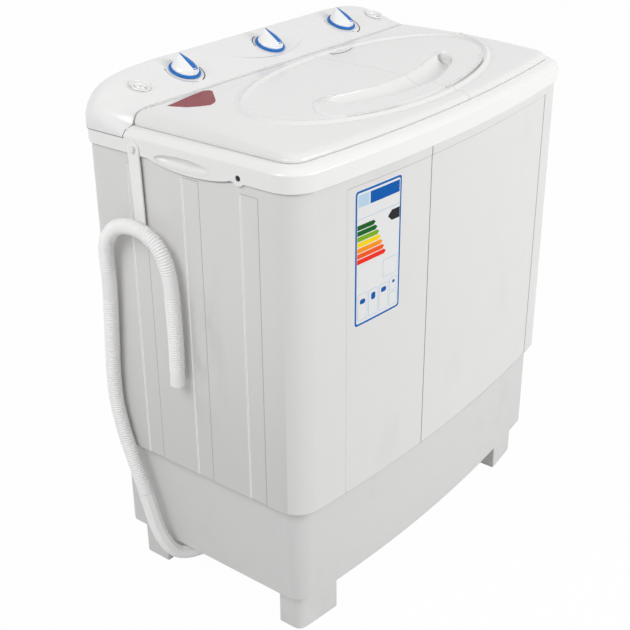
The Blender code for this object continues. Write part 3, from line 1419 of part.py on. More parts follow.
def spin_basket():
    """The perforated basket with its hub and the balance ring round its mouth."""
    wall = 0.0022
    top = BASKET_BOTTOM + BASKET_HEIGHT
    ring_inner = 0.098
    ring_depth = 0.024
    hub = 0.024
    hub_height = 0.060
    bore = SPIN_SHAFT_RADIUS + GAP
    profile = [
        (bore, BASKET_BOTTOM), (BASKET_RADIUS, BASKET_BOTTOM), (BASKET_RADIUS, top), (ring_inner, top),
        (ring_inner, top - ring_depth), (BASKET_RADIUS - wall, top - ring_depth - wall),
        (BASKET_RADIUS - wall, BASKET_BOTTOM + wall), (hub * 1.5, BASKET_BOTTOM + wall),
        (hub, BASKET_BOTTOM + hub_height), (bore, BASKET_BOTTOM + hub_height),
    ]
    basket = turned(profile, (SPIN_X, SPIN_Y, 0), 20)
    hole_radius = 0.004
    rows = 3
    first = 0.100
    pitch = 0.115
    ways = 4
    for row in range(rows):
        height = BASKET_BOTTOM + first + row * pitch
        for number in range(ways):
            angle = math.pi * (number + 0.5) / ways
            reach = Vector((math.cos(angle), math.sin(angle), 0)) * (BASKET_RADIUS + OVERRUN)
            start = Vector((SPIN_X, SPIN_Y, height)) - reach
            end = Vector((SPIN_X, SPIN_Y, height)) + reach
            drill = rod(hole_radius, start, end, sides=4)
            basket = cut(basket, drill)
    return keep("spin_basket", basket, TUB_WHITE)


SPIN_MOTOR_RADIUS = 0.062
SPIN_MOTOR_TOP = 0.222
SPRING_HEIGHT = 0.032
MOUNT_THICKNESS = 0.0045
DRUM_BOTTOM = 0.243
DRUM_TOP = 0.270
DRUM_RADIUS = 0.045


def spin_motor():
    bottom = FLOOR_TOP + 3 * GAP + SPRING_HEIGHT + MOUNT_THICKNESS
    waist = 0.056
    neck = 0.018
    cap = 0.014
    bore = SPIN_SHAFT_RADIUS + 2 * ROD_CLEARANCE
    profile = [(0, bottom), (waist, bottom), (SPIN_MOTOR_RADIUS, bottom + cap),
               (SPIN_MOTOR_RADIUS, SPIN_MOTOR_TOP - cap), (waist, SPIN_MOTOR_TOP), (neck, SPIN_MOTOR_TOP),
               (neck, SPIN_MOTOR_TOP + cap / 2), (bore, SPIN_MOTOR_TOP + cap / 2),
               (bore, SPIN_MOTOR_TOP - 2 * cap), (0, SPIN_MOTOR_TOP - 2 * cap)]
    case = turned(profile, (SPIN_X, SPIN_Y, 0), 16)
    post = box((LEVER_X - LEVER_HALF, LEVER_Y - LEVER_HALF, SPIN_MOTOR_TOP - 2 * cap),
               (LEVER_X + LEVER_HALF, LEVER_Y + LEVER_HALF, LEVER_BOTTOM - GAP))
    arm = box((SPIN_X + SPIN_MOTOR_RADIUS / 2, LEVER_Y - LEVER_HALF, SPIN_MOTOR_TOP - 2 * cap),
              (LEVER_X, LEVER_Y + LEVER_HALF, SPIN_MOTOR_TOP - cap))
    pin = rod(LEVER_PIN, (LEVER_X, LEVER_Y, LEVER_BOTTOM - 2 * OVERRUN),
              (LEVER_X, LEVER_Y, LEVER_BOTTOM + LEVER_THICKNESS), sides=12)
    keep("spin_motor", join(case, post, arm, pin), MOTOR_METAL)
    shaft_bottom = SPIN_MOTOR_TOP - 2 * cap + GAP
    keep("spin_shaft", rod(SPIN_SHAFT_RADIUS, (SPIN_X, SPIN_Y, shaft_bottom),
                           (SPIN_X, SPIN_Y, BASKET_BOTTOM + 0.058), 16), STEEL)


LEVER_X_OFFSET = 0.064
LEVER_X = SPIN_X + LEVER_X_OFFSET
LEVER_Y_OFFSET = 0.040
LEVER_Y = SPIN_Y - LEVER_Y_OFFSET
LEVER_BOTTOM = 0.252
LEVER_THICKNESS = 0.006
LEVER_HALF = 0.006
LEVER_PIN = 0.0028


def brake_lever():
    """The lever on the spin motor whose shoe presses the brake drum when the lid is open."""
    length = 0.086
    shoe_front = 0.024
    shoe_length = 0.030
    slack = 0.0026
    bar = box((LEVER_X - LEVER_HALF, LEVER_Y - LEVER_HALF, LEVER_BOTTOM),
              (LEVER_X + LEVER_HALF, LEVER_Y + length, LEVER_BOTTOM + LEVER_THICKNESS))
    shoe = box((SPIN_X + DRUM_RADIUS + slack, LEVER_Y + shoe_front, LEVER_BOTTOM),
               (LEVER_X, LEVER_Y + shoe_front + shoe_length, LEVER_BOTTOM + 2 * LEVER_THICKNESS))
    hole = rod(LEVER_PIN + ROD_CLEARANCE, (LEVER_X, LEVER_Y, LEVER_BOTTOM - OVERRUN),
               (LEVER_X, LEVER_Y, LEVER_BOTTOM + 2 * LEVER_THICKNESS), sides=12)
    return keep("brake_lever", cut(join(bar, shoe), hole), STEEL)


def brake_drum():
    hub = 0.018
    hub_rise = 0.010
    bore = SPIN_SHAFT_RADIUS + GAP
    profile = [(bore, DRUM_TOP + hub_rise), (hub, DRUM_TOP + hub_rise), (hub, DRUM_TOP), (DRUM_RADIUS, DRUM_TOP),
               (DRUM_RADIUS, DRUM_BOTTOM), (bore, DRUM_BOTTOM)]
    return keep("brake_drum", turned(profile, (SPIN_X, SPIN_Y, 0), 20), MOTOR_METAL)


def spin_boot():
    """The rubber bellows that seals the spin shaft to the tub."""
    top = SPIN_TUB_BOTTOM - GAP
    flange_radius = 0.044
    flange = 0.003
    waist = 0.020
    fold = 0.028
    bore = SPIN_SHAFT_RADIUS + 2 * ROD_CLEARANCE
    bottom_offset = 0.018
    bottom = DRUM_TOP + bottom_offset
    profile = [(bore, top), (flange_radius, top), (flange_radius, top - flange), (waist, top - 3 * flange),
               (fold, top - 5 * flange), (waist, top - 7 * flange), (waist * 0.8, bottom), (bore, bottom)]
    return keep("spin_boot", turned(profile, (SPIN_X, SPIN_Y, 0), 16), RUBBER)


def spin_motor_mount():
    """The plate under the spin motor and the three springs that it stands on."""
    arm_reach = 0.076
    pad = 0.017
    spring_radius = 0.0125
    spring_waist = 0.0105
    floor = FLOOR_TOP + GAP
    under = floor + SPRING_HEIGHT + GAP
    plate = rod(SPIN_MOTOR_RADIUS, (SPIN_X, SPIN_Y, under), (SPIN_X, SPIN_Y, under + MOUNT_THICKNESS), 16)
    for number in range(3):
        angle = math.radians(90 + 120 * number)
        x = SPIN_X + arm_reach * math.cos(angle)
        y = SPIN_Y + arm_reach * math.sin(angle)
        plate = join(plate, rod(pad, (x, y, under), (x, y, under + MOUNT_THICKNESS), 10))
        middle = floor + SPRING_HEIGHT / 2
        profile = [(0, floor), (spring_radius, floor), (spring_waist, middle),
                   (spring_radius, floor + SPRING_HEIGHT), (0, floor + SPRING_HEIGHT)]
        keep(f"motor_spring_{number + 1}", turned(profile, (x, y, 0), 10), RUBBER)
    return keep("spin_motor_mount", plate, STEEL)


# Drain


def valve_body():
    """A cup on the base floor: outlet low on its left, the two tubs' inlets higher up."""
    wall = 0.003
    bottom = FLOOR_TOP + GAP
    seat = 0.150
    seat_bore = 0.011
    top = 0.226
    inner = VALVE_RADIUS - wall
    cup = turned([
        (0, bottom + wall), (inner, bottom + wall), (inner, seat - wall), (seat_bore, seat - wall),
        (seat_bore, seat), (inner, seat), (inner, top - wall), (ROD_HOLE, top - wall),
        (ROD_HOLE, top), (VALVE_RADIUS, top), (VALVE_RADIUS, bottom), (0, bottom),
    ], (SELECTOR_X, VALVE_Y, 0), 14)
    spigots = [
        (Vector((-1, 0, 0)), OUTLET_Z, SPIGOT_RADIUS, SPIGOT_LENGTH),
        (Vector((0, -1, 0)), WASH_PORT_Z, SPIGOT_RADIUS, SPIGOT_LENGTH),
        (Vector((1, 0, 0)), SPIN_PORT_Z, SPIGOT_RADIUS, SPIGOT_LENGTH),
    ]
    for way, height, radius, length in spigots:
        centre = Vector((SELECTOR_X, VALVE_Y, height))
        cup = join(cup, rod(radius, centre + way * (inner + wall / 3), centre + way * (VALVE_RADIUS + length), 8))
        cup = cut(cup, rod(radius - wall / 2, centre + way * (inner - wall),
                           centre + way * (VALVE_RADIUS + length + OVERRUN), 6))
    return keep("drain_valve_body", cup, INNER_GREY)


ROD_HOLE = 0.0036
PULL_ROD_RADIUS = 0.0024
SPIGOT_RADIUS = 0.0085
SPIGOT_LENGTH = 0.012
WASH_PORT_Z = 0.186
SPIN_PORT_Z = 0.202
VALVE_TRAVEL = 0.010


def drain_plunger():
    """The rubber disc on its seat and the rod that the selector pulls."""
    seat = 0.150 + GAP
    disc_radius = 0.0180
    disc = 0.006
    rod_top = 0.800
    plunger = join(
        rod(disc_radius, (SELECTOR_X, VALVE_Y, seat), (SELECTOR_X, VALVE_Y, seat + disc), 16),
        rod(PULL_ROD_RADIUS, (SELECTOR_X, VALVE_Y, seat + disc / 2), (SELECTOR_X, VALVE_Y, rod_top), 12),
    )
    return keep("drain_plunger", plunger, INNER_GREY)


def drain_ducts():
    """Pipes from the two tubs' drains to the valve's ports."""
    end = VALVE_RADIUS + SPIGOT_LENGTH + GAP
    radius = TUB_DRAIN_RADIUS
    bore = SPIGOT_RADIUS - ROD_CLEARANCE
    wash_start = (*TUB_DRAIN, WASH_BOTTOM - GAP)
    wash_end = (SELECTOR_X, VALVE_Y - end, WASH_PORT_Z)
    spin_start = (*SPIN_DRAIN, SPIN_TUB_BOTTOM - GAP)
    spin_end = (SELECTOR_X + end, VALVE_Y, SPIN_PORT_Z)
    wash = [wash_start, *between(wash_start, wash_end, WASH_DRAIN_SHARES), wash_end]
    spin = [spin_start, *between(spin_start, spin_end, SPIN_DRAIN_SHARES), spin_end]
    for name, way in (("tub_drain_duct", wash), ("spin_drain_duct", spin)):
        keep(name, pipe(way, radius, bore), RUBBER)


def drain_elbow():
    """The moulded elbow from the hose's end, under the base's edge, up to the drain valve."""
    foot, above = Vector(HOSE_ROUTE[0]), Vector(HOSE_ROUTE[1])
    way = (foot - above).normalized()
    start = foot + way * GAP
    lead = start + way * 2 * HOSE_RADIUS
    hole = (ELBOW_HOLE_X, ELBOW_HOLE_Y, FOOT_HEIGHT + BASE_WALL)
    end = (SELECTOR_X - VALVE_RADIUS - SPIGOT_LENGTH - GAP, VALVE_Y, OUTLET_Z)
    route = [start, lead, *between(start, hole, ELBOW_DROP_SHARES), *between(hole, end, ELBOW_INNER_SHARES), end]
    return keep("drain_elbow", pipe(route, HOSE_RADIUS, HOSE_BORE, 2), HOSE_WHITE)


# Shares of the hose's length, from the elbow, between which it is ribbed
RIBBED_SHARES = ((0.030, 0.440), (0.500, 0.775), (0.815, 0.970))
RIB_PITCH = 0.0082
RIB_DEPTH = 0.0011
HOSE_PLAIN_STEP = 0.012


def drain_hose():
    """The free hose: ribbed runs with smooth cuffs between them, and its bore."""
    fine, length = smooth_route(HOSE_ROUTE, RIB_PITCH / 2, 2 * HOSE_RADIUS)
    last = len(fine) - 1
    chosen = []
    radii = []
    since = HOSE_PLAIN_STEP
    ribs = 0
    for number, point in enumerate(fine):
        share = number / last
        ribbed = any(start < share < end for start, end in RIBBED_SHARES)
        since += length / last
        if ribbed:
            chosen.append(point)
            radii.append(HOSE_RADIUS if number % 2 else HOSE_RADIUS - RIB_DEPTH)
            ribs += number % 2
            since = 0.0
        elif since >= HOSE_PLAIN_STEP or number in (0, last):
            chosen.append(point)
            radii.append(HOSE_RADIUS - RIB_DEPTH / 2)
            since = 0.0
    bore = tube(lengthened(thinned(fine), OVERRUN), HOSE_BORE - RIB_DEPTH / 2, 1)
    print(f"hose length {length:.4f} m, {ribs} ribs")
    return keep("drain_hose", cut(tube(chosen, radii), bore), HOSE_WHITE)


def hose_hanger():
    """The strap on the rim's peg, with the lip at its lower end that the hose lies in."""
    thickness = 0.0024
    half_width = 0.0105
    eye_radius = 0.0115
    play = 0.0005
    face = -BODY_WIDTH / 2 - RIM_OVERHANG - GAP
    arch = (Vector(HOSE_ROUTE[13]) + Vector(HOSE_ROUTE[14])) / 2
    lip_radius = HOSE_RADIUS + 2 * GAP
    lip_bottom = arch.z - lip_radius
    lean = PEG_Y - arch.y
    outline = arc((PEG_Y, PEG_Z), eye_radius, 0, math.pi, 10)
    outline += [(PEG_Y - half_width - lean, lip_bottom - thickness), (PEG_Y + half_width - lean, lip_bottom - thickness)]
    strap = side_slab(outline, face - thickness, face)
    strap = cut(strap, rod(PEG_RADIUS + play, (face - 2 * thickness, PEG_Y, PEG_Z),
                           (face + OVERRUN, PEG_Y, PEG_Z), sides=12))
    steps = 6
    reach = face - thickness / 4 - arch.x
    drop = lip_radius + thickness
    lip_turn = math.radians(46)
    inner = arc((arch.x, arch.z), lip_radius, 0, -lip_turn, steps)
    outer = [(arch.x + reach * x, arch.z + drop * z) for x, z in arc((0, 0), 1.0, -lip_turn, 0, steps)]
    lip = slab(inner + outer, arch.y - half_width, arch.y + half_width)
    upright = Matrix(((1, 0, 0, 0), (0, 0, 1, 0), (0, 1, 0, 0), (0, 0, 0, 1)))
    lip.data.transform(upright)
    lip.data.flip_normals()
    return keep("hose_hanger", join(strap, lip), HOSE_WHITE)


def small_parts():
    """The capacitor on the base floor and the gland for the mains lead in the base's rear wall."""
    radius = 0.021
    height = 0.080
    x_offset = 0.115
    y_offset = 0.0725
    x, y = SPIN_X - x_offset, -BODY_DEPTH / 2 + y_offset
    floor = FLOOR_TOP + GAP
    keep("motor_capacitor", rod(radius, (x, y, floor), (x, y, floor + height), 20), INNER_GREY)
    rear = BODY_DEPTH / 2 - BASE_INSET
    flange = 0.0125
    flange_depth = 0.003
    barrel = 0.0085
    lead = 0.0042
    nose = 0.010
    gland = turned([(lead, nose), (barrel * 0.8, nose), (flange, flange_depth), (flange, GAP), (barrel, GAP),
                    (barrel, -2.5 * BASE_WALL), (lead, -2.5 * BASE_WALL)], (0, 0, 0), 12)
    gland.data.transform(Matrix.Translation((GLAND_X, rear, GLAND_Z)) @ Matrix.Rotation(-math.pi / 2, 4, "X"))
    keep("cord_gland", gland, BLACK)


def build_machine():
    base_moulding()
    feet()
    cabinet_shell()
    rear_cover()
    top_frame()
    rim_screws()
    control_panel()
    knob("wash_timer_knob", WASH_KNOB_X)
    knob("selector_knob", SELECTOR_X)
    knob("spin_timer_knob", SPIN_KNOB_X)
    switch_body("wash_timer", WASH_KNOB_X, TIMER_WIDTH, TIMER_LENGTH, TIMER_DEPTH)
    switch_body("selector_switch", SELECTOR_X, SELECTOR_WIDTH, SELECTOR_LENGTH, SELECTOR_DEPTH)
    switch_body("spin_timer", SPIN_KNOB_X, TIMER_WIDTH, TIMER_LENGTH, TIMER_DEPTH)
    inlet("wash_inlet", WASH_INLET_X)
    inlet("spin_inlet", SPIN_INLET_X)
    wash_way = Vector((0, 1, 0))
    wash_port = Vector((WASH_DUCT_X, WASH_Y + WASH_DEPTH / 2 + GAP, DUCT_Z))
    inlet_duct("wash_inlet_duct", WASH_INLET_X, wash_port, wash_way, WASH_INLET_SHARES)
    spin_way = Vector((math.cos(SPIN_DUCT_ANGLE), math.sin(SPIN_DUCT_ANGLE), 0))
    spin_port = Vector((SPIN_X, SPIN_Y, DUCT_Z)) + spin_way * (SPIN_TUB_RADIUS + GAP)
    inlet_duct("spin_inlet_duct", SPIN_INLET_X, spin_port, spin_way, SPIN_INLET_SHARES)
    ends = lid_rods()
    lid("wash", -1, ends["wash"])
    lid("spin", 1, ends["spin"])
    spin_safety_cover()
    wash_tub()
    pulsator()
    pulsator_shaft()
    pulsator_bearing()
    pulley("pulsator_pulley", WASH_X, PULLEY_RADIUS, WASH_SHAFT_RADIUS + GAP, TUB_WHITE, 20)
    pulley("motor_pulley", MOTOR_X, MOTOR_PULLEY_RADIUS, MOTOR_SHAFT_RADIUS + GAP, STEEL, 16)
    drive_belt()
    wash_motor()
    wash_motor_bracket()
    lint_filter()
    overflow_cover()
    spin_tub()
    spin_basket()
    spin_motor()
    brake_lever()
    brake_drum()
    spin_boot()
    spin_motor_mount()
    valve_body()
    drain_plunger()
    drain_ducts()
    drain_elbow()
    drain_hose()
    hose_hanger()
    small_parts()


build_machine()
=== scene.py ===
import json
from math import atan2, ceil, cos, hypot, pi, radians, sin, sqrt, tan, tau

import bmesh
import bpy
from mathutils import Matrix, Vector

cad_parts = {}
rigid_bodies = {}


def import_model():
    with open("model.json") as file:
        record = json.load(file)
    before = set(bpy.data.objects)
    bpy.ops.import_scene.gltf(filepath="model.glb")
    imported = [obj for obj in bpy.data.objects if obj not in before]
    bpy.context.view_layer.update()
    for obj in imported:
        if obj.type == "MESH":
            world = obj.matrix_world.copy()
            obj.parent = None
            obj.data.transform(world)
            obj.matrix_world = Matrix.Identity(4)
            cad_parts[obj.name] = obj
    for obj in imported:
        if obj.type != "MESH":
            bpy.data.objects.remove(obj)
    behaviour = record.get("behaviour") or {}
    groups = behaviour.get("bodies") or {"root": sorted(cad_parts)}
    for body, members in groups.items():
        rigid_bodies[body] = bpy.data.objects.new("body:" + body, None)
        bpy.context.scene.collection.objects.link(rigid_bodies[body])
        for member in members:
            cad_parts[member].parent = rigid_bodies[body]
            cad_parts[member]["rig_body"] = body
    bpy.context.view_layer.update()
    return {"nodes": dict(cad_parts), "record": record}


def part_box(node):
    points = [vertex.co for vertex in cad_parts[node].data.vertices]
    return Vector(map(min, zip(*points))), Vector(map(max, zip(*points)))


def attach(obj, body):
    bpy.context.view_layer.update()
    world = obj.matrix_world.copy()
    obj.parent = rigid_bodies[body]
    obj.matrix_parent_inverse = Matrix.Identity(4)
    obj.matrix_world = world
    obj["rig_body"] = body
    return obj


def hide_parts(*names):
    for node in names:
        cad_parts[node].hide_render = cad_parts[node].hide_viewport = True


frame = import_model()
scene = bpy.context.scene
scene.view_settings.view_transform = "Standard"
ops = bmesh.ops
nodes = frame["nodes"]

# Camera. It stands where the photograph was taken from, to the left of the machine's front and a little
# above it. The lens was worked out from the cabinet's upright edges and the rim.
YAW, PITCH, CAMERA_ROLL = 0.9056, 0.4658, -0.0077
lens = bpy.data.cameras.new("camera")
lens.sensor_width = 36
lens.lens = 66.86
camera = bpy.data.objects.new("camera", lens)
camera.matrix_world = (Matrix.Translation((-1.5249, -1.1240, 1.3531)) @ Matrix.Rotation(-YAW, 4, "Z")
                       @ Matrix.Rotation(pi / 2 - PITCH, 4, "X") @ Matrix.Rotation(CAMERA_ROLL, 4, "Z"))
scene.collection.objects.link(camera)
scene.camera = camera


class Field:
    """A socket of a node tree that takes part in Python sums, each of which adds its Math node."""

    def __init__(self, tree, socket):
        self.tree = tree
        self.socket = socket

    def sum_of(self, operation, first, second):
        return added(self.tree, "ShaderNodeMath", 0, {"operation": operation}, {0: first, 1: second})

    def __add__(self, other):
        return self.sum_of("ADD", self, other)

    def __sub__(self, other):
        return self.sum_of("SUBTRACT", self, other)

    def __rsub__(self, other):
        return self.sum_of("SUBTRACT", other, self)

    def __mul__(self, other):
        return self.sum_of("MULTIPLY", self, other)

    def __abs__(self):
        return added(self.tree, "ShaderNodeMath", 0, {"operation": "ABSOLUTE"}, {0: self})


def added(tree, kind, output, settings, sockets):
    """Add a node with its settings and its inputs, each a plain value or a Field, and give one output."""
    made = tree.nodes.new(kind)
    for setting, value in settings.items():
        setattr(made, setting, value)
    for socket, value in sockets.items():
        if isinstance(value, Field):
            tree.links.new(value.socket, made.inputs[socket])
        else:
            made.inputs[socket].default_value = value
    return Field(tree, made.outputs[output])


# Studio. The surround is white where the camera, or something seen through or mirrored, looks at it, and
# lights the machine at a plain level. One wide soft lamp stands over the front right, a weaker one on the left
# and a faint one above.
def white_where_seen(tree, lit, output, share):
    """Mix a plain white into a shader for the rays that look at it, and feed the output."""
    ray = tree.nodes.new("ShaderNodeLightPath").outputs
    seen = Field(tree, ray["Is Camera Ray"])
    for kind in ("Is Glossy Ray", "Is Transmission Ray"):
        seen = seen.sum_of("MAXIMUM", seen, Field(tree, ray[kind]))
    white = Field(tree, tree.nodes.new("ShaderNodeEmission").outputs[0])
    mixed = added(tree, "ShaderNodeMixShader", 0, {}, {0: seen * share, 1: Field(tree, lit), 2: white})
    tree.links.new(mixed.socket, tree.nodes[output].inputs["Surface"])


world = bpy.data.worlds.new("studio")
world.use_nodes = True
scene.world = world
surround = world.node_tree.nodes["Background"]
surround.inputs["Color"].default_value = (0.97, 0.985, 1, 1)
surround.inputs["Strength"].default_value = 0.42
white_where_seen(world.node_tree, surround.outputs[0], "World Output", 1.0)
for name, place, aim, size, power in (("front_lamp", (0.9, -3.1, 2.1), (0, 0, 0.55), 2.2, 67),
                                      ("left_lamp", (-2.6, 0.2, 2.7), (0, 0, 0.75), 2.0, 44),
                                      ("top_lamp", (0.3, 0.6, 3.4), (0, 0, 0.5), 2.6, 2)):
    shine = bpy.data.lights.new(name, "AREA")
    shine.shape = "DISK"
    shine.size = size
    shine.energy = power
    stand = bpy.data.objects.new(name, shine)
    stand.location = place
    stand.rotation_mode = "QUATERNION"
    stand.rotation_quaternion = (Vector(aim) - Vector(place)).to_track_quat("-Z", "Y")
    scene.collection.objects.link(stand)


class Finish:
    """A material under construction: its shader, its place coordinates and one method for any node."""

    def __init__(self, name, roughness, metallic=0.0, **fixed):
        self.material = bpy.data.materials.new(name)
        self.material.use_nodes = True
        self.tree = self.material.node_tree
        self.shader = self.tree.nodes["Principled BSDF"]
        for socket, value in {"Roughness": roughness, "Metallic": metallic, **fixed}.items():
            self.shader.inputs[socket.replace("_", " ")].default_value = value
        self.place = self.node("ShaderNodeTexCoord", "Object")

    def node(self, kind, output, settings=(), **sockets):
        inputs = {socket.replace("_", " "): value for socket, value in sockets.items()}
        return added(self.tree, kind, output, dict(settings), inputs)

    def feed(self, socket, value):
        self.tree.links.new(value.socket, self.shader.inputs[socket])

    def noise(self, scale, detail=3.0, stretch=(1, 1, 1)):
        where = self.node("ShaderNodeMapping", "Vector", Vector=self.place, Scale=stretch)
        return self.node("ShaderNodeTexNoise", "Fac", Vector=where, Scale=scale, Detail=detail)

    def between(self, value, low, high, bottom=0.0, top=1.0):
        """The value moved from one range to another, with its ends held."""
        return self.node("ShaderNodeMapRange", "Result", {"interpolation_type": "SMOOTHSTEP"}, Value=value,
                         From_Min=low, From_Max=high, To_Min=bottom, To_Max=top)

    def within(self, value, low, high, soft):
        """One between two places, with a soft edge outside each."""
        return self.between(value, low - soft, low) * self.between(value, high, high + soft, 1.0, 0.0)

    def tint(self, share, first, second):
        """A colour between two, by a share."""
        sockets = {0: share}
        for socket, value in ((6, first), (7, second)):
            sockets[socket] = value if isinstance(value, Field) else (*value, 1)
        return added(self.tree, "ShaderNodeMix", 2, {"data_type": "RGBA"}, sockets)

    def axis(self, letter):
        return self.node("ShaderNodeSeparateXYZ", letter, Vector=self.place)

    def relief(self, height, depth, strength=1.0):
        raised = self.node("ShaderNodeBump", "Normal", Height=height, Distance=depth, Strength=strength)
        self.feed("Normal", raised)

    def dress(self, grain, first, second, spread=None, bumps=None):
        """Let the colour drift between two, and the roughness and the relief by noises of their own."""
        self.plain = self.tint(grain if isinstance(grain, Field) else self.noise(*grain), first, second)
        self.feed("Base Color", self.plain)
        if spread:
            *noise, low, high = spread
            self.feed("Roughness", self.between(self.noise(*noise), 0.3, 0.7, low, high))
        if bumps:
            *noise, depth, strength = bumps
            self.relief(self.noise(*noise), depth, strength)
        return self


def as_object(built, name="tool"):
    """Turn a bmesh, which is used up, into an object."""
    mesh = bpy.data.meshes.new(name)
    built.to_mesh(mesh)
    built.free()
    made = bpy.data.objects.new(name, mesh)
    scene.collection.objects.link(made)
    return made


def shaded(piece, angle):
    piece.data.shade_smooth()
    piece.data.set_sharp_from_angle(angle=radians(angle))
    return piece


def adopted(piece, name, finish, body, *stands_for, slot=None):
    """Make an object a piece of the model that rides on a body and stands for the nodes named."""
    piece.name = name
    piece.data.name = name
    piece.data.materials.clear()
    piece.data.materials.append(finish.material)
    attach(piece, body)
    if stands_for:
        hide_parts(*stands_for)
    return piece


def kept(name, built, finish, body, *stands_for, slot=None, smooth=35):
    return adopted(shaded(as_object(built, name), smooth), name, finish, body, *stands_for, slot=slot)


def outward(built):
    ops.recalc_face_normals(built, faces=built.faces)
    return built


def facing(built, way=(0, 0, 1)):
    """Turn the faces so that, taken together, they look one way."""
    outward(built).normal_update()
    if sum(face.normal.dot(way) * face.calc_area() for face in built.faces) < 0:
        ops.reverse_faces(built, faces=built.faces)
    return built


def grown(built, edges):
    """Extrude edges, and give the new edges along their far side and the corners there."""
    parts = ops.extrude_edge_only(built, edges=edges)["geom"]
    corners = {part for part in parts if isinstance(part, bmesh.types.BMVert)}
    far = [part for part in parts if isinstance(part, bmesh.types.BMEdge) and set(part.verts) <= corners]
    return far, corners


def lofted(rings, closed=True):
    """A skin through rings of equal count, each extruded from the last, and both of its end loops."""
    skin = bmesh.new()
    place = skin.verts.layers.int.new("place")
    first = [skin.verts.new(spot) for spot in rings[0]]
    for number, corner in enumerate(first):
        corner[place] = number
    start = [skin.edges.new(pair) for pair in zip(first, first[1:] + first[:1] if closed else first[1:])]
    edges = list(start)
    for ring in rings[1:]:
        edges, corners = grown(skin, edges)
        for corner in corners:
            corner.co = ring[corner[place]]
    return skin, start, edges


def capped(rings, closed=True, start=True, end=True):
    """A skin through rings, with its ends filled where that is asked."""
    skin, first, last = lofted(rings, closed)
    for loop, filled in ((first, start), (last, end)):
        if filled:
            ops.contextual_create(skin, geom=loop)
    return outward(skin)


def smooth_through(points, parts):
    """Places along a smooth curve through the points given, with so many parts to each stretch."""
    knots = [Vector(point) for point in points]
    knots = [2 * knots[0] - knots[1]] + knots + [2 * knots[-1] - knots[-2]]
    fine = []
    for a, b, c, d in zip(knots, knots[1:], knots[2:], knots[3:]):
        for t in (part / parts for part in range(parts)):
            fine.append(0.5 * (2 * b + (c - a) * t + (2 * a - 5 * b + 4 * c - d) * t ** 2
                               + (3 * b - a - 3 * c + d) * t ** 3))
    return fine + [knots[-2]]


def evenly(points, spacing):
    """The same line at even steps, and its length."""
    travelled = [0.0]
    for here, there in zip(points, points[1:]):
        travelled.append(travelled[-1] + (there - here).length)
    count = round(travelled[-1] / spacing)
    even = []
    near = 0
    for number in range(count + 1):
        target = travelled[-1] * number / count
        while near < len(travelled) - 2 and travelled[near + 1] < target:
            near += 1
        share = (target - travelled[near]) / (travelled[near + 1] - travelled[near])
        even.append(points[near].lerp(points[near + 1], share))
    return even, travelled[-1]


def pipe_rings(line, radii, sides):
    """Circles along a line, each square to it and turned no more than the line turns."""
    way = (line[1] - line[0]).normalized()
    side = way.orthogonal().normalized()
    rings = []
    for number, (spot, radius) in enumerate(zip(line, radii)):
        ahead = (line[min(len(line) - 1, number + 1)] - line[max(0, number - 1)]).normalized()
        side = (way.rotation_difference(ahead) @ side).normalized()
        way = ahead
        other = way.cross(side)
        rings.append([spot + (side * cos(tau * step / sides) + other * sin(tau * step / sides)) * radius
                      for step in range(sides)])
    return rings


# Drain hose. A blown corrugated hose of soft off-white plastic with three smooth cuffs. It leaves the elbow
# by the base, goes over the strap's lip and hangs down to its open end. The photograph shows all of it.
HOSE_ROUTE = [
    (-0.3965, 0.1345, 0.1760), (-0.3970, 0.1468, 0.2120), (-0.3970, 0.1614, 0.2504),
    (-0.3970, 0.1745, 0.2900), (-0.3970, 0.1850, 0.3400), (-0.3970, 0.1868, 0.3900),
    (-0.3972, 0.1830, 0.4500), (-0.3980, 0.1780, 0.5100), (-0.3992, 0.1740, 0.5600),
    (-0.4015, 0.1720, 0.6030), (-0.4035, 0.1690, 0.6300), (-0.4050, 0.1600, 0.6510),
    (-0.4055, 0.1425, 0.6690), (-0.4055, 0.1170, 0.6785), (-0.4055, 0.0870, 0.6785),
    (-0.4055, 0.0630, 0.6690), (-0.4045, 0.0460, 0.6510), (-0.4030, 0.0370, 0.6270),
    (-0.4020, 0.0330, 0.5980), (-0.4010, 0.0315, 0.5400), (-0.4000, 0.0325, 0.4800),
    (-0.4000, 0.0345, 0.4290),
]
HOSE_RADIUS = 0.0125
HOSE_BORE = 0.0098
BORE_SEEN = 0.03
RIB_PITCH = 0.0042
RIB_DEPTH = 0.0015
RIB_PARTS = 6
RIBBED_SHARES = ((0.030, 0.440), (0.500, 0.775), (0.815, 0.970))
hose_plastic = Finish("hose_plastic", 0.42, Subsurface_Weight=0.08, Subsurface_Scale=0.004).dress(
    (18,), (0.945, 0.940, 0.928), (0.920, 0.915, 0.903), None, (420, 3, 0.00006, 1))
hose_line, hose_length = evenly(smooth_through(HOSE_ROUTE, 12), RIB_PITCH / RIB_PARTS)
hose_radii = []
for number in range(len(hose_line)):
    share = number / (len(hose_line) - 1)
    ribbed = any(start < share < end for start, end in RIBBED_SHARES)
    depth = 0.5 - 0.5 * cos(tau * number / RIB_PARTS) if ribbed else 0.45
    hose_radii.append(HOSE_RADIUS - RIB_DEPTH * depth)
skin, start_loop, end_loop = lofted(pipe_rings(hose_line, hose_radii, 22))
for loop, tip, inner in ((start_loop, hose_line[0], hose_line[12]),
                         (end_loop, hose_line[-1], hose_line[-13])):
    lip, corners = grown(skin, loop)
    for corner in corners:
        corner.co = tip + (corner.co - tip) * (HOSE_BORE / HOSE_RADIUS)
    deep, corners = grown(skin, lip)
    ops.translate(skin, vec=(inner - tip).normalized() * BORE_SEEN, verts=list(corners))
    ops.contextual_create(skin, geom=deep)
hose = kept("corrugated_drain_hose", outward(skin), hose_plastic, "cabinet", "drain_hose",
            slot="hose_plastic", smooth=60)

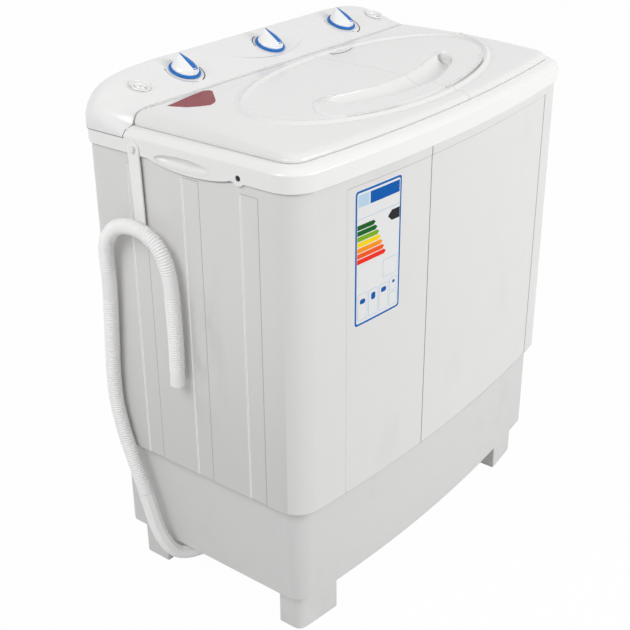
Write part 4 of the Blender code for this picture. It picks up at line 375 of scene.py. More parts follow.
# The machine's outline in plan. Each level of it is this outline, set in by its own distance.
WIDTH, DEPTH, BOW = 0.765, 0.445, 0.0285
FRONT_CORNER, REAR_CORNER, SMALL_CORNER = 0.046, 0.030, 0.006
BOW_RADIUS = ((WIDTH / 2) ** 2 + BOW ** 2) / (2 * BOW)
BOW_CENTRE = BOW_RADIUS - DEPTH / 2
CUT, JOIN, MEET = "DIFFERENCE", "UNION", "INTERSECT"


def clamp(value, low=0.0, high=1.0):
    return min(high, max(low, value))


def plan(inset, rear=None, rear_corner=None, corner_steps=14, front_steps=48, rear_steps=14):
    """The cabinet's plan outline, set in on every side: straight sides and a bowed front."""
    half = WIDTH / 2 - inset
    back = DEPTH / 2 - inset if rear is None else rear
    front_radius = max(FRONT_CORNER - inset, SMALL_CORNER)
    back_radius = max(REAR_CORNER - inset, SMALL_CORNER) if rear_corner is None else rear_corner
    corner_x = half - front_radius
    corner_y = BOW_CENTRE - sqrt((BOW_RADIUS - inset - front_radius) ** 2 - corner_x ** 2)
    left = atan2(corner_y - BOW_CENTRE, -corner_x) % tau
    right = atan2(corner_y - BOW_CENTRE, corner_x) % tau
    sweeps = [
        ((half - back_radius, back - back_radius), back_radius, 0, pi / 2, rear_steps),
        ((-half + back_radius, back - back_radius), back_radius, pi / 2, pi, rear_steps),
        ((-corner_x, corner_y), front_radius, pi, left, corner_steps),
        ((0, BOW_CENTRE), BOW_RADIUS - inset, left, right, front_steps),
        ((corner_x, corner_y), front_radius, right, tau, corner_steps),
    ]
    points = []
    for (x, y), radius, start, end, steps in sweeps:
        for step in range(steps + 1):
            angle = start + (end - start) * step / steps
            spot = (x + radius * cos(angle), y + radius * sin(angle))
            if not points or (Vector(spot) - Vector(points[-1])).length > 1e-5:
                points.append(spot)
    return points


def at_height(points, height):
    return [(x, y, height) for x, y in points]


def changed(piece, kind, **settings):
    """Put a modifier on a piece and make its result the mesh."""
    change = piece.modifiers.new(kind.lower(), kind)
    for setting, value in settings.items():
        setattr(change, setting, value)
    bpy.context.view_layer.update()
    mesh = bpy.data.meshes.new_from_object(piece.evaluated_get(bpy.context.evaluated_depsgraph_get()))
    piece.modifiers.clear()
    old = piece.data
    piece.data = mesh
    bpy.data.meshes.remove(old)
    mesh.name = piece.name
    return piece


def walled(piece, thickness, even=True):
    return changed(piece, "SOLIDIFY", thickness=thickness, offset=-1.0, use_even_offset=even)


def block(low, high):
    built = bmesh.new()
    ops.create_cube(built, size=1.0)
    size = Vector(high) - Vector(low)
    ops.scale(built, vec=size, verts=built.verts)
    ops.translate(built, vec=Vector(low) + size / 2, verts=built.verts)
    return as_object(outward(built))


def drum(radius, start, end, sides=48):
    start, end = Vector(start), Vector(end)
    built = bmesh.new()
    ops.create_cone(built, cap_ends=True, segments=sides, radius1=radius, radius2=radius,
                    depth=(end - start).length)
    turn = Vector((0, 0, 1)).rotation_difference((end - start).normalized())
    ops.rotate(built, cent=(0, 0, 0), matrix=turn.to_matrix(), verts=built.verts)
    ops.translate(built, vec=(start + end) / 2, verts=built.verts)
    return as_object(outward(built))


def prism(outline, bottom, top):
    """A flat outline in X and Y raised into a solid."""
    return as_object(capped([at_height(outline, bottom), at_height(outline, top)]))


def side_prism(outline, near, far):
    """An outline in Y and Z raised along X."""
    made = prism(outline, *sorted((near, far)))
    made.data.transform(Matrix(((0, 0, 1, 0), (1, 0, 0, 0), (0, 1, 0, 0), (0, 0, 0, 1))))
    return made


def worked(piece, *steps):
    """Join, cut or intersect a piece with loose solids, which are used up."""
    for operation, other in steps:
        changed(piece, "BOOLEAN", operation=operation, object=other, solver="EXACT")
        bpy.data.objects.remove(other, do_unlink=True)
    return shaded(piece, 30)


def rounded(piece, width, segments=3, angle=40):
    """Finish a piece's edges with a fine round."""
    edge = piece.modifiers.new("edges", "BEVEL")
    edge.width = width
    edge.segments = segments
    edge.limit_method = "ANGLE"
    edge.angle_limit = radians(angle)
    return piece


def softened(node, finish, width, slot, segments=3):
    """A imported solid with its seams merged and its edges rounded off, in place of the plain one."""
    built = bmesh.new()
    built.from_mesh(nodes[node].data)
    ops.remove_doubles(built, verts=built.verts, dist=0.000002)
    ops.dissolve_limit(built, angle_limit=radians(0.2), verts=built.verts, edges=built.edges)
    piece = kept(f"{node}_dressed", built, finish, nodes[node]["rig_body"], node, slot=slot)
    return rounded(piece, width, segments)


# Base and feet. The base is a deep tray in light grey-white plastic with a fine grain. It stands on four
# blocks at its corners, and the cabinet sits on its top edge.
BASE_INSET, BASE_ROUND, BASE_FLOOR_INSET = 0.0135, 0.0035, 0.030
SHELL_WALL = 0.003
base_plastic = Finish("base_plastic", 0.5)
scuffs = base_plastic.between(base_plastic.noise(14, 5), 0.55, 0.80, 0.0, 0.22)
base_plastic.dress(scuffs, (0.690, 0.686, 0.676), (0.56, 0.555, 0.545), (60, 3, 0.44, 0.56),
                   (1400, 2, 0.00012, 0.6))
foot_height, base_top = (corner.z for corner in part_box("base_moulding"))
rings = [at_height(plan(BASE_INSET + BASE_FLOOR_INSET), foot_height)]
for turn in (pi / 2 * step / 4 for step in range(5)):
    rings.append(at_height(plan(BASE_INSET + BASE_ROUND * (1 - sin(turn))),
                           foot_height + BASE_ROUND * (1 - cos(turn))))
rings.append(at_height(plan(BASE_INSET), base_top))
base = kept("base_tray", capped(rings, end=False), base_plastic, "cabinet", "base_moulding",
            slot="base_plastic")
worked(walled(base, SHELL_WALL), (CUT, drum(0.023, (-0.307, 0.0495, 0.070), (-0.307, 0.0495, 0.085))),
       (CUT, drum(0.009, (0.300, 0.190, 0.200), (0.300, 0.230, 0.200))))
for corner in ("front_left", "front_right", "rear_left", "rear_right"):
    softened(f"foot_{corner}", base_plastic, 0.002, "base_plastic")

# Cabinet. A one-piece skirt of satin off-white plastic. Its sides have three sunk bands each, its front a
# broad sunk field with a fine seam, and its top edge is notched for the carrying scoops.
STRIPS, STRIP_WIDTH, STRIP_DEPTH = (0.1292, 0.0168, -0.0956), 0.0327, 0.0012
FIELD_LEFT, FIELD_RIGHT, FIELD_TOP, FIELD_DEPTH = -0.280, 0.310, 0.772, 0.0009
SEAM_LEFT, SEAM_RIGHT, SEAM_TOP, SEAM_DEPTH = -0.0825, -0.0811, 0.791, 0.0018
SCOOP_FRONT, SCOOP_REAR = -0.0848, 0.0838
RIM_Z = 0.789
body_plastic = Finish("body_plastic", 0.4, Coat_Weight=0.15, Coat_Roughness=0.25)
height_up, across, along = (body_plastic.axis(letter) for letter in "ZXY")
between = body_plastic.between


def groove(value, at, half=0.0007):
    """A thin line where a coordinate passes one place."""
    return between(abs(value - at), half * 0.6, half * 1.8, 1.0, 0.0)


on_side = between(abs(across), 0.3795, 0.3805)
on_front = between(along, -0.175, -0.165, 1.0, 0.0)
below_field = between(height_up, FIELD_TOP - 0.0005, FIELD_TOP + 0.0005, 1.0, 0.0)
# Painted shade: dark lines along the edges of the sunk front field, down the front seam, along the front edge
# and top of each side band, and round the joint with the base.
painted_groove_shade = (groove(across, FIELD_LEFT) + groove(across, FIELD_RIGHT)) * on_front * below_field
painted_groove_shade += groove(across, (SEAM_LEFT + SEAM_RIGHT) / 2, 0.0009) * on_front * 1.3
painted_groove_shade += groove(height_up, FIELD_TOP) * on_front * body_plastic.within(across, FIELD_LEFT, FIELD_RIGHT, 0.001)
# Painted highlight: a light line along the rear edge of each sunk band on the sides.
painted_strip_highlight = on_side * 0.0
for strip in STRIPS:
    painted_strip_highlight += groove(along, strip, 0.0009) * on_side * below_field
    painted_groove_shade += groove(along, strip - STRIP_WIDTH, 0.0009) * on_side * below_field * 1.5
    beside = body_plastic.within(along, strip - STRIP_WIDTH + 0.0002, strip - 0.0002, 0.0005)
    painted_groove_shade += groove(height_up, FIELD_TOP) * on_side * beside
painted_groove_shade += groove(height_up, 0.2552, 0.0012) * 0.8
scoop_part = body_plastic.node("ShaderNodeMapRange", "Result", Value=along, From_Min=SCOOP_FRONT,
                               From_Max=SCOOP_REAR)
arch = body_plastic.node("ShaderNodeMath", "Value", {"operation": "SINE"}, Value=scoop_part * pi)
rim_edge = RIM_Z - arch.sum_of("POWER", arch, 0.7) * on_side * 0.0113
shade = between(height_up - rim_edge, -0.0040, 0.0002) * (on_side * 0.45 + 0.35)
worn = between(body_plastic.noise(26, 6, (1, 1, 0.35)), 0.42, 0.72) * on_side
worn *= between(abs(along + 0.014), 0.004, 0.050, 0.34, 0.0)
worn *= between(abs(height_up - 0.50), 0.05, 0.19, 1.0, 0.0)
smudge = between(body_plastic.noise(9, 6, (1, 1, 0.5)), 0.55, 0.86, 0.0, 0.14)
# Painted shade: the sides grow darker towards the bottom.
painted_bottom_shade = between(height_up, 0.26, 0.66, 0.30, 0.0) * on_side
# The colour drifts towards a grey by the smudges, the worn patch and the painted shade low on the sides.
body_plastic.dress(smudge + worn + painted_bottom_shade, (0.740, 0.733, 0.718), (0.42, 0.415, 0.40), (30, 3, 0.34, 0.46),
                   (55, 2, 0.00010, 0.5))
# The painted highlight lightens the colour towards white along those rear edges.
plain = body_plastic.tint(painted_strip_highlight, body_plastic.plain, (0.97, 0.97, 0.96))
# The painted shade of the grooves and the painted shadow under the rim darken the colour towards a dark
# brown-grey.
body_plastic.feed("Base Color", body_plastic.tint(painted_groove_shade * 0.42 + shade, plain, (0.20, 0.19, 0.18)))
cabinet_bottom, cabinet_top = (corner.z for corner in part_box("cabinet_shell"))
skirt = capped([at_height(plan(0.0165), cabinet_bottom), at_height(plan(0.0), cabinet_bottom),
                at_height(plan(0.0), cabinet_top)], start=False, end=False)
cabinet = kept("cabinet_skirt", skirt, body_plastic, "cabinet", "cabinet_shell", slot="body_plastic")
walled(cabinet, SHELL_WALL)


def scoop_line(front, rear, bottom, top, end, steps=28):
    """Side view of the carrying scoop: a lens that hangs below the rim, closed at a height above it."""
    lens_line = [(rear + (front - rear) * step / steps, top - (top - bottom) * sin(pi * step / steps) ** 0.7)
                 for step in range(steps + 1)]
    return lens_line + [(front, end), (rear, end)]


def front_cut(depth, bottom, top, left, right):
    """A slice off the bowed front, from one depth outward."""
    inside = prism(plan(depth), cabinet_bottom - 0.01, 0.8)
    span = block((left, -DEPTH, 0), (right, 0, 0.9))
    return CUT, worked(prism(plan(-0.002), bottom, top), (CUT, inside), (MEET, span))


cuts = []
for side in (-1, 1):
    low, high = sorted((side * (WIDTH / 2 - STRIP_DEPTH), side * 0.3845))
    for rear_edge in STRIPS:
        cuts.append((CUT, block((low, rear_edge - STRIP_WIDTH, cabinet_bottom - 0.002),
                                (high, rear_edge, FIELD_TOP))))
    notch = scoop_line(SCOOP_FRONT, SCOOP_REAR, 0.7777, RIM_Z, cabinet_top + 0.002)
    cuts.append((CUT, side_prism(notch, side * 0.3735, side * 0.3845)))
cuts.append(front_cut(FIELD_DEPTH, cabinet_bottom + 0.0012, FIELD_TOP, FIELD_LEFT, FIELD_RIGHT))
cuts.append(front_cut(SEAM_DEPTH, cabinet_bottom - 0.002, SEAM_TOP, SEAM_LEFT, SEAM_RIGHT))
cuts.append((CUT, block((-0.335, 0.2165, 0.290), (0.335, 0.2245, 0.762))))
rounded(worked(cabinet, *cuts), 0.0005, 2)
softened("rear_cover", body_plastic, 0.0004, "body_plastic", 2)

# Top frame. A glossy white rim laps over the cabinet's top edge and rolls up to the deck under the lids. It
# has a finger scoop and a screw tab on each side, the hinge lugs and the peg that the hose strap hangs on.
gloss_plastic = Finish("gloss_white", 0.24, Coat_Weight=0.35, Coat_Roughness=0.12).dress(
    (16, 4), (0.884, 0.878, 0.865), (0.864, 0.858, 0.845), (9, 1, 0.235, 0.265), (30, 2, 0.00002, 0.5))
DECK_Z = 0.8245
RIM_LAP, RIM_HALF, TOP_WALL = 0.004, 0.3865, 0.0026
RIM_PROFILE = [(-RIM_LAP, 0.809), (-RIM_LAP, 0.8145), (-0.001, 0.8180), (0.0060, 0.8222), (0.0165, DECK_Z)]
HINGE_Y, HINGE_Z, ROD_BORE = 0.1217, 0.8402, 0.0019
LUG_FOOT = 0.8232
LUGS = {"wash": (-0.3251, -0.0651), "spin": (0.1301, 0.3251)}
SCREW_Y, SCREW_Z = -0.097, 0.796
rings = [at_height(plan(-RIM_LAP), RIM_Z)]
for inset, height in smooth_through(RIM_PROFILE, 5):
    rings.append(at_height(plan(max(inset, -RIM_LAP)), height))
top_frame = kept("top_rim", capped(rings, start=False), gloss_plastic, "cabinet", "top_frame",
                 slot="gloss_white")
walled(top_frame, TOP_WALL)


def ball(radii, centre):
    built = bmesh.new()
    ops.create_uvsphere(built, u_segments=48, v_segments=24, radius=1.0)
    ops.scale(built, vec=radii, verts=built.verts)
    ops.translate(built, vec=centre, verts=built.verts)
    return as_object(outward(built))


def round_box(left, front, right, rear, across, deep, steps):
    """A rectangle with its corners rounded, counter-clockwise."""
    corners = ((right - across, rear - deep), (left + across, rear - deep),
               (left + across, front + deep), (right - across, front + deep))
    return [(x + across * cos(pi / 2 * (turn + step / steps)), y + deep * sin(pi / 2 * (turn + step / steps)))
            for turn, (x, y) in enumerate(corners) for step in range(steps + 1)]


steps = [
    (CUT, block((-0.8, 0.1275, 0.8099), (0.8, 0.45, 0.9))),
    (CUT, prism(round_box(-0.3444, -0.1624, 0.0244, 0.0974, 0.0474, 0.0474, 10), 0.780, 0.860)),
    (CUT, drum(0.116, (0.205, -0.033, 0.780), (0.205, -0.033, 0.860), 96)),
    (JOIN, block((-0.3799, 0.1249, 0.8045), (0.3799, 0.1275, LUG_FOOT))),
]
for side in (-1, 1):
    face = side * RIM_HALF
    scoop = scoop_line(-0.0840, 0.0830, 0.7785, RIM_Z + 0.0013, 0.8102)
    tab_end = (face, SCREW_Y, SCREW_Z)
    steps.append((JOIN, side_prism(scoop, face - side * 0.0165, face)))
    steps.append((CUT, ball((0.0135, 0.056, 0.0105), (face, 0.010, 0.7925))))
    steps.append((JOIN, drum(0.0115, (face - side * TOP_WALL, SCREW_Y, SCREW_Z), tab_end)))
    hole = drum(0.0045, (face - side * 0.009, SCREW_Y, SCREW_Z), (face + side, SCREW_Y, SCREW_Z))
    steps.append((CUT, hole))
rounded(worked(top_frame, *steps), 0.0007, 3, 35)
peg = worked(drum(0.0035, (-0.3850, 0.107, 0.799), (-0.3933, 0.107, 0.799), 32),
             (JOIN, drum(0.0055, (-0.3915, 0.107, 0.799), (-0.3933, 0.107, 0.799), 40)))
rounded(adopted(peg, "strap_peg", gloss_plastic, "cabinet"), 0.0004)
for name, places, y, z, radius, edge in (
        ("hinge_lug", (*LUGS["wash"], *LUGS["spin"]), HINGE_Y, HINGE_Z, 0.0036, 0.0004),
        ("cover_lug", (0.165, 0.245), 0.0985, 0.8278, 0.0030, 0.0003)):
    for number, x in enumerate(places):
        lug = worked(drum(radius, (x - 0.005, y, z), (x + 0.005, y, z), 40),
                     (JOIN, block((x - 0.005, y - radius * 0.8, LUG_FOOT), (x + 0.005, y + radius * 0.7, z))),
                     (CUT, drum(ROD_BORE, (x - 0.01, y, z), (x + 0.01, y, z), 24)))
        rounded(adopted(lug, f"{name}_{number + 1}", gloss_plastic, "cabinet"), edge)

# Control panel. Its top slopes up to the rear from the lids' level, and its sides fall away in a soft roll
# that is full at the rear and tighter by the lids. A shallow arc is pressed into it in front of the selector.
PANEL_FRONT, PANEL_FOOT, PANEL_TOP = 0.1295, 0.8102, 0.8465
PANEL_DEPTH, PANEL_REAR, PANEL_CORNER = 0.0970, 0.2265, 0.030
PANEL_TILT = atan2(0.0335, 0.0930)
ROLL_WIDTH = 0.140
ROLL_FRONT = smooth_through([(0.0, 0.0), (0.0, 0.105), (0.054, 0.317), (0.139, 0.408), (0.175, 0.606),
                             (0.211, 0.848), (0.311, 0.972), (0.471, 1.0)], 4)
ROLL_REAR = smooth_through([(0.0, 0.0), (0.0, 0.200), (0.015, 0.360), (0.060, 0.530), (0.135, 0.690),
                            (0.300, 0.845), (0.600, 0.955), (1.0, 1.0)], 4)
ARC_CENTRE = (0.0105, 0.3115, 0)
KNOBS, KNOB_Y = {"wash_timer": -0.199, "selector": 0.013, "spin_timer": 0.218}, 0.177
INLETS, INLET_Y = {"wash_inlet": -0.300, "spin_inlet": 0.319}, 0.174
panel_plastic = Finish("panel_white", 0.26, Coat_Weight=0.3, Coat_Roughness=0.15).dress(
    (16, 4), (0.843, 0.838, 0.828), (0.823, 0.818, 0.808), (9, 1, 0.255, 0.285))
# Painted shade: a dark line round the hood's foot, where it sits on the rim.
painted_foot_shade = panel_plastic.between(panel_plastic.axis("Z"), 0.8110, 0.8118, 1.0, 0.0)
panel_plastic.feed("Base Color", panel_plastic.tint(painted_foot_shade, panel_plastic.plain, (0.22, 0.21, 0.20)))
flat_place = panel_plastic.node("ShaderNodeCombineXYZ", "Vector", X=panel_plastic.axis("X"),
                                Y=panel_plastic.axis("Y"))
reach = added(panel_plastic.tree, "ShaderNodeVectorMath", "Value", {"operation": "DISTANCE"},
              {0: flat_place, 1: ARC_CENTRE})
ends = panel_plastic.within(panel_plastic.axis("X"), -0.055, 0.075, 0.045)
panel_plastic.relief(panel_plastic.between(reach, 0.1625, 0.1665) * ends, 0.0009)


def panel_line(share):
    """The panel's outer section at one depth, left to right over its top."""
    y = PANEL_FRONT + PANEL_DEPTH * share
    from_rear = PANEL_REAR - y
    into_corner = max(0.0, PANEL_CORNER - from_rear)
    half = RIM_HALF - PANEL_CORNER + sqrt(PANEL_CORNER ** 2 - into_corner ** 2)
    drop = 0.005 * max(0.0, 1 - from_rear / 0.0034) ** 2
    rise = PANEL_TOP + (y - PANEL_FRONT) * tan(PANEL_TILT) - drop - PANEL_FOOT
    left = []
    for near, far in zip(ROLL_FRONT, ROLL_REAR):
        spot = near.lerp(far, 1 - (1 - share) ** 2.5)
        left.append((ROLL_WIDTH * max(0.0, spot.x) - half, y, PANEL_FOOT + rise * clamp(spot.y)))
    return left + [(-x, y, z) for x, y, z in reversed(left)]


def on_panel(x, y, lift=0.0):
    """A place on the panel's slope, or above it along its normal."""
    return Vector((x, y - lift * sin(PANEL_TILT),
                   PANEL_TOP + (y - PANEL_FRONT) * tan(PANEL_TILT) + lift * cos(PANEL_TILT)))


stations = [step / 16 * 0.69 for step in range(17)]
stations += [0.73, 0.77, 0.81, 0.85, 0.88, 0.91, 0.935, 0.955, 0.97, 0.98, 0.988, 0.994, 1.0]
hood = facing(capped([panel_line(share) for share in stations], closed=False))
panel = kept("panel_hood", hood, panel_plastic, "cabinet", "control_panel", slot="gloss_white")
holes = []
for places, y, radius, low, high, sides in ((KNOBS, KNOB_Y, 0.0047, -0.009, 0.006, 32),
                                            (INLETS, INLET_Y, 0.0150, -0.016, 0.008, 64)):
    for x in places.values():
        holes.append((CUT, drum(radius, on_panel(x, y, low), on_panel(x, y, high), sides)))
rounded(worked(walled(panel, TOP_WALL), *holes), 0.0006, 3, 50)


def turned(profile, sides=72):
    """A solid turned about Z from its half section."""
    built = bmesh.new()
    rings = []
    for radius, height in profile:
        count = sides if radius > 0 else 1
        ring = [built.verts.new((radius * cos(tau * step / sides), radius * sin(tau * step / sides), height))
                for step in range(count)]
        rings.append(ring * (sides // count))
    for low, high in zip(rings, rings[1:]):
        for step in range(sides):
            after = (step + 1) % sides
            built.faces.new(dict.fromkeys((low[step], high[step], high[after], low[after])))
    return outward(built)


def set_on_panel(built, x, y):
    """Move what was modelled about the origin on to the panel's slope."""
    ops.transform(built, matrix=Matrix.Translation(on_panel(x, y)) @ Matrix.Rotation(PANEL_TILT, 4, "X"),
                  verts=built.verts)
    return built


def soft_profile(points, parts=5):
    return [tuple(spot) for spot in smooth_through(points, parts)]


# Knobs. Each is a blue ring, a white dome with a tall fin across it, a blue stripe down the fin's right flank
# and a stem that enters its switch. The fin is highest at the rear.
FIN_HALF, FIN_FOOT, FIN_LOW, FIN_RISE = 0.0188, 0.0050, 0.0150, 0.0075
FIN_LEVELS = (0.0, 0.12, 0.3, 0.5, 0.7, 0.85, 0.95, 1.0)
STEM = [(0.0, -0.0120), (0.0035, -0.0120), (0.0035, 0.0006), (0.0, 0.0006)]
DOME = soft_profile([(0.0222, 0.0036), (0.0225, 0.0052), (0.0216, 0.0074), (0.0192, 0.0093), (0.0130, 0.0106),
                     (0.0060, 0.0110), (0.0, 0.0111)])
RING = soft_profile([(0.0226, 0.0040), (0.0240, 0.0041), (0.0256, 0.0036), (0.0265, 0.0022),
                     (0.0263, 0.0010)], 4)
knob_white = Finish("knob_white", 0.22, Coat_Weight=0.3, Coat_Roughness=0.1).dress(
    (40,), (0.885, 0.885, 0.880), (0.855, 0.855, 0.850), None, (90, 2, 0.00004, 0.5))
knob_blue = Finish("knob_blue", 0.4, Specular_IOR_Level=0.2).dress(
    (60,), (0.010, 0.160, 0.540), (0.008, 0.140, 0.480), (110, 3, 0.36, 0.46))


def fin_tall(along):
    """How far the fin's crest stands over its foot, with both ends rounded off."""
    crest = FIN_LOW + FIN_RISE * (clamp(along, -FIN_HALF, FIN_HALF) + FIN_HALF) / (2 * FIN_HALF)
    return (crest - FIN_FOOT) * sin(clamp((0.0222 - abs(along)) / 0.0040) * pi / 2) ** 0.8


def crest_half(along):
    """Half the width of the fin's flat crest, which narrows to the rear."""
    return 0.0012 + 0.0030 * clamp((FIN_HALF - along) / (2 * FIN_HALF))


def flank_at(along, share):
    """How far the fin's flank stands from its middle at a share of its height."""
    reach = sqrt(0.0218 ** 2 - along ** 2)
    crest = crest_half(along)
    return min(reach, crest) + max(0.0, reach - crest) * (1 - share ** 1.8) ** 0.8


def fin_section(along):
    """A section across the fin, a rounded wedge that flares to the dome."""
    flank = [(flank_at(along, share) - max(0.0, share - 0.9) * 0.008, along,
              FIN_FOOT + fin_tall(along) * share) for share in FIN_LEVELS]
    return [(-x, y, z) for x, y, z in flank] + flank[::-1]


def stripe_section(along):
    """A section across the stripe, which covers the crest and the upper part of the right flank."""
    half, tall = crest_half(along), fin_tall(along)
    top = FIN_FOOT + tall
    over_right = [(flank_at(along, share) + 0.0002, along, FIN_FOOT + 0.0002 + tall * share)
                  for share in (0.975, 0.92, 0.84, 0.74)]
    return [(-half + 0.0006, along, top + 0.0002), (half, along, top + 0.0002), *over_right,
            (half, along, FIN_FOOT + tall * 0.70), (-half + 0.0014, along, top - 0.0014)]


for name, x in KNOBS.items():
    fin = capped([fin_section(-0.0216 + 0.0432 * step / 28) for step in range(29)])
    stripe = capped([stripe_section(-0.0200 + 0.0385 * step / 20) for step in range(21)])
    ring = turned([(0.0216, 0.0010), (0.0216, 0.0040)] + RING + [(0.0216, 0.0010)])
    for part, built, finish, replaced, smooth in (
            ("grip", turned(STEM + [(0.0222, 0.0012)] + DOME), knob_white, (f"{name}_knob",), 50),
            ("fin", fin, knob_white, (), 60), ("ring", ring, knob_blue, (), 50),
            ("stripe", stripe, knob_blue, (), 35)):
        kept(f"{name}_{part}", set_on_panel(built, x, KNOB_Y), finish, nodes[f"{name}_knob"]["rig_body"],
             *replaced, slot="knob_plastic", smooth=smooth)

# Dial marks. They are printed on the panel round each knob in dark ink: thin and thick arcs and a few dots.
# Each row gives the knob, the arc's radius, its ends in degrees from +X towards +Y, and its width.
ink = Finish("dial_ink", 0.6, Specular_IOR_Level=0.1).dress(
    (300,), (0.035, 0.037, 0.045), (0.06, 0.063, 0.07))
DIAL_MARKS = {
    "wash_dial_thin": ("wash_timer", 0.0320, 152, 266, 0.0008),
    "wash_dial_thick": ("wash_timer", 0.0318, 284, 358, 0.0017),
    "wash_dial_dot": ("wash_timer", 0.0322, 149, 153, 0.0022),
    "wash_dial_mark": ("wash_timer", 0.0318, 87, 91, 0.0012),
    "selector_dial_thick": ("selector", 0.0300, 100, 168, 0.0016),
    "spin_dial_thick": ("spin_timer", 0.0345, 276, 365, 0.0017),
    "spin_dial_thin": ("spin_timer", 0.0320, 140, 172, 0.0008),
    "spin_dial_dot": ("spin_timer", 0.0300, 262, 267, 0.0022),
}
INK_LIFT = 0.00012
for name, (knob, radius, start, end, width) in DIAL_MARKS.items():
    steps = 4 if end - start < 10 else 14
    angles = [radians(start + (end - start) * step / steps) for step in range(steps + 1)]
    arc = [(KNOBS[knob] + radius * cos(angle), KNOB_Y + radius * sin(angle)) for angle in angles]
    line = smooth_through(arc, 6)
    rows = []
    for number, spot in enumerate(line):
        way = (line[min(number + 1, len(line) - 1)] - line[max(number - 1, 0)]).normalized()
        side = Vector((-way.y, way.x)) * width / 2
        rows.append([on_panel(*(spot + side), INK_LIFT), on_panel(*(spot - side), INK_LIFT)])
    kept(name, facing(lofted(rows, closed=False)[0]), ink, "cabinet")

# Inlets. Each is a shallow round dish in the panel with a spigot in its middle and an open tail below it.
inlet_profile = [
    (0.0133, 0.0002),
    *soft_profile([(0.0140, 0.0012), (0.0150, 0.0016), (0.0160, 0.0014), (0.0167, 0.0005)], 3),
    (0.0146, 0.00045), (0.0146, -0.0085), (0.0078, -0.0085), (0.0078, -0.0200), (0.0030, -0.0200),
    *soft_profile([(0.0030, -0.0010), (0.0038, 0.0), (0.0052, 0.0), (0.0062, -0.0012)], 3),
    *soft_profile([(0.0064, -0.0022), (0.0074, -0.0042), (0.0092, -0.0052), (0.0114, -0.0046),
                   (0.0128, -0.0024), (0.0133, 0.0002)], 4)]
for name, x in INLETS.items():
    dish = turned(inlet_profile)
    ops.remove_doubles(dish, verts=dish.verts, dist=0.00001)
    kept(f"{name}_dish", set_on_panel(outward(dish), x, INLET_Y), panel_plastic, "cabinet", name,
         slot="gloss_white", smooth=40)

# Lids. Both are cut from one moulding: a soft roll round its edge, a domed top with an oval disc inside a
# raised lip, and a grip pad with a deep crescent hollow. The split runs from front to rear across all of it.
LID_FOOT, LID_TOP, LID_INSET, LID_WALL = 0.8254, 0.8465, 0.0185, 0.0024
LID_FRONT, LID_REAR = -0.204, 0.128
EAR_NEAR, EAR_FAR = 0.0062, 0.0092
SPLIT_X, SPLIT_GAP = 0.05, 0.0004
OVAL_CENTRE = Vector((0.0273, -0.0319))
OVAL_HALF = Vector((0.2976, 0.1389))
OVAL_TURN = radians(3.1)
HOLLOW_FLOOR = 0.8306
TURN_STEPS = 1440
ROLL = [(0.0, 0.0, 0.0, 0.02, 0.02), (0.0, 0.0, 0.0, 0.25, 0.30), (0.0050, 0.0030, 0.0, 0.68, 0.68),
        (0.0120, 0.0065, 0.0022, 0.91, 0.88), (0.0240, 0.0120, 0.0062, 1.0, 0.97)]
LIP = [(0.0150, 0.0), (0.0125, -0.0003), (0.0100, -0.0008), (0.0078, -0.0010), (0.0062, -0.0004),
       (0.0050, 0.0007), (0.0036, 0.0019), (0.0020, 0.0027), (0.0004, 0.0027), (-0.0012, 0.0017),
       (-0.0024, 0.0003), (-0.0038, -0.0010), (-0.0060, -0.0014), (-0.0095, -0.0012)]
PAD = [(-0.2001, -0.0970), (-0.1958, -0.1123), (-0.1788, -0.1272), (-0.1464, -0.1402), (-0.1097, -0.1509),
       (-0.0720, -0.1535), (-0.0214, -0.1560), (0.0355, -0.1565), (0.0842, -0.1540), (0.1356, -0.1453),
       (0.1855, -0.1326), (0.2208, -0.1193), (0.2344, -0.1082), (0.2444, -0.0931), (0.2422, -0.0782),
       (0.2298, -0.0633), (0.2129, -0.0495), (0.2024, -0.0445), (0.1527, -0.0583), (0.1012, -0.0719),
       (0.0590, -0.0781), (0.0312, -0.0792), (-0.0245, -0.0788), (-0.0794, -0.0697), (-0.1191, -0.0607),
       (-0.1463, -0.0534), (-0.1729, -0.0645), (-0.1911, -0.0807)]
HOLLOW = [(-0.1485, -0.0740), (-0.1479, -0.0854), (-0.1371, -0.0962), (-0.0955, -0.1111), (-0.0658, -0.1203),
          (-0.0358, -0.1260), (-0.0087, -0.1284), (0.0538, -0.1293), (0.0881, -0.1227), (0.1294, -0.1102),
          (0.1586, -0.0997), (0.1805, -0.0890), (0.1928, -0.0762), (0.2011, -0.0588), (0.2000, -0.0490),
          (0.1960, -0.0492), *((x, y - 0.0030) for x, y in PAD[18:25]), (-0.1440, -0.0580),
          (-0.1480, -0.0640)]


def crown(y):
    """Height of the lids' top: level, with a gentle fall to the front and a slight one at the rear edge."""
    return LID_TOP - 0.0125 * max(0.0, -y / 0.206) ** 1.5 - 0.0007 * clamp((y - 0.085) / 0.025)


def lid_foot(y):
    """Height of the lids' lower edge, which clears the hinge strip at the rear."""
    return LID_FOOT + (0.001 if y > 0.122 else 0)


def divided(points, step):
    """A closed outline with points no further apart than a step."""
    fine = []
    for (ax, ay), (bx, by) in zip(points, points[1:] + points[:1]):
        parts = max(1, ceil(hypot(bx - ax, by - ay) / step))
        fine += [(ax + (bx - ax) * part / parts, ay + (by - ay) * part / parts) for part in range(parts)]
    return fine


lid_plan = divided(plan(LID_INSET, LID_REAR, SMALL_CORNER, 12, 104, 6), 0.0065)
lid_turns = [atan2((y - OVAL_CENTRE.y) / OVAL_HALF.y, (x - OVAL_CENTRE.x) / OVAL_HALF.x)
             for x, y in lid_plan]


def oval_at(turn, grow):
    """A place on the oval, or outside it by a distance, at one turn."""
    flat = Vector(((OVAL_HALF.x + grow) * cos(turn), (OVAL_HALF.y + grow) * sin(turn)))
    return OVAL_CENTRE + Matrix.Rotation(OVAL_TURN, 2) @ flat


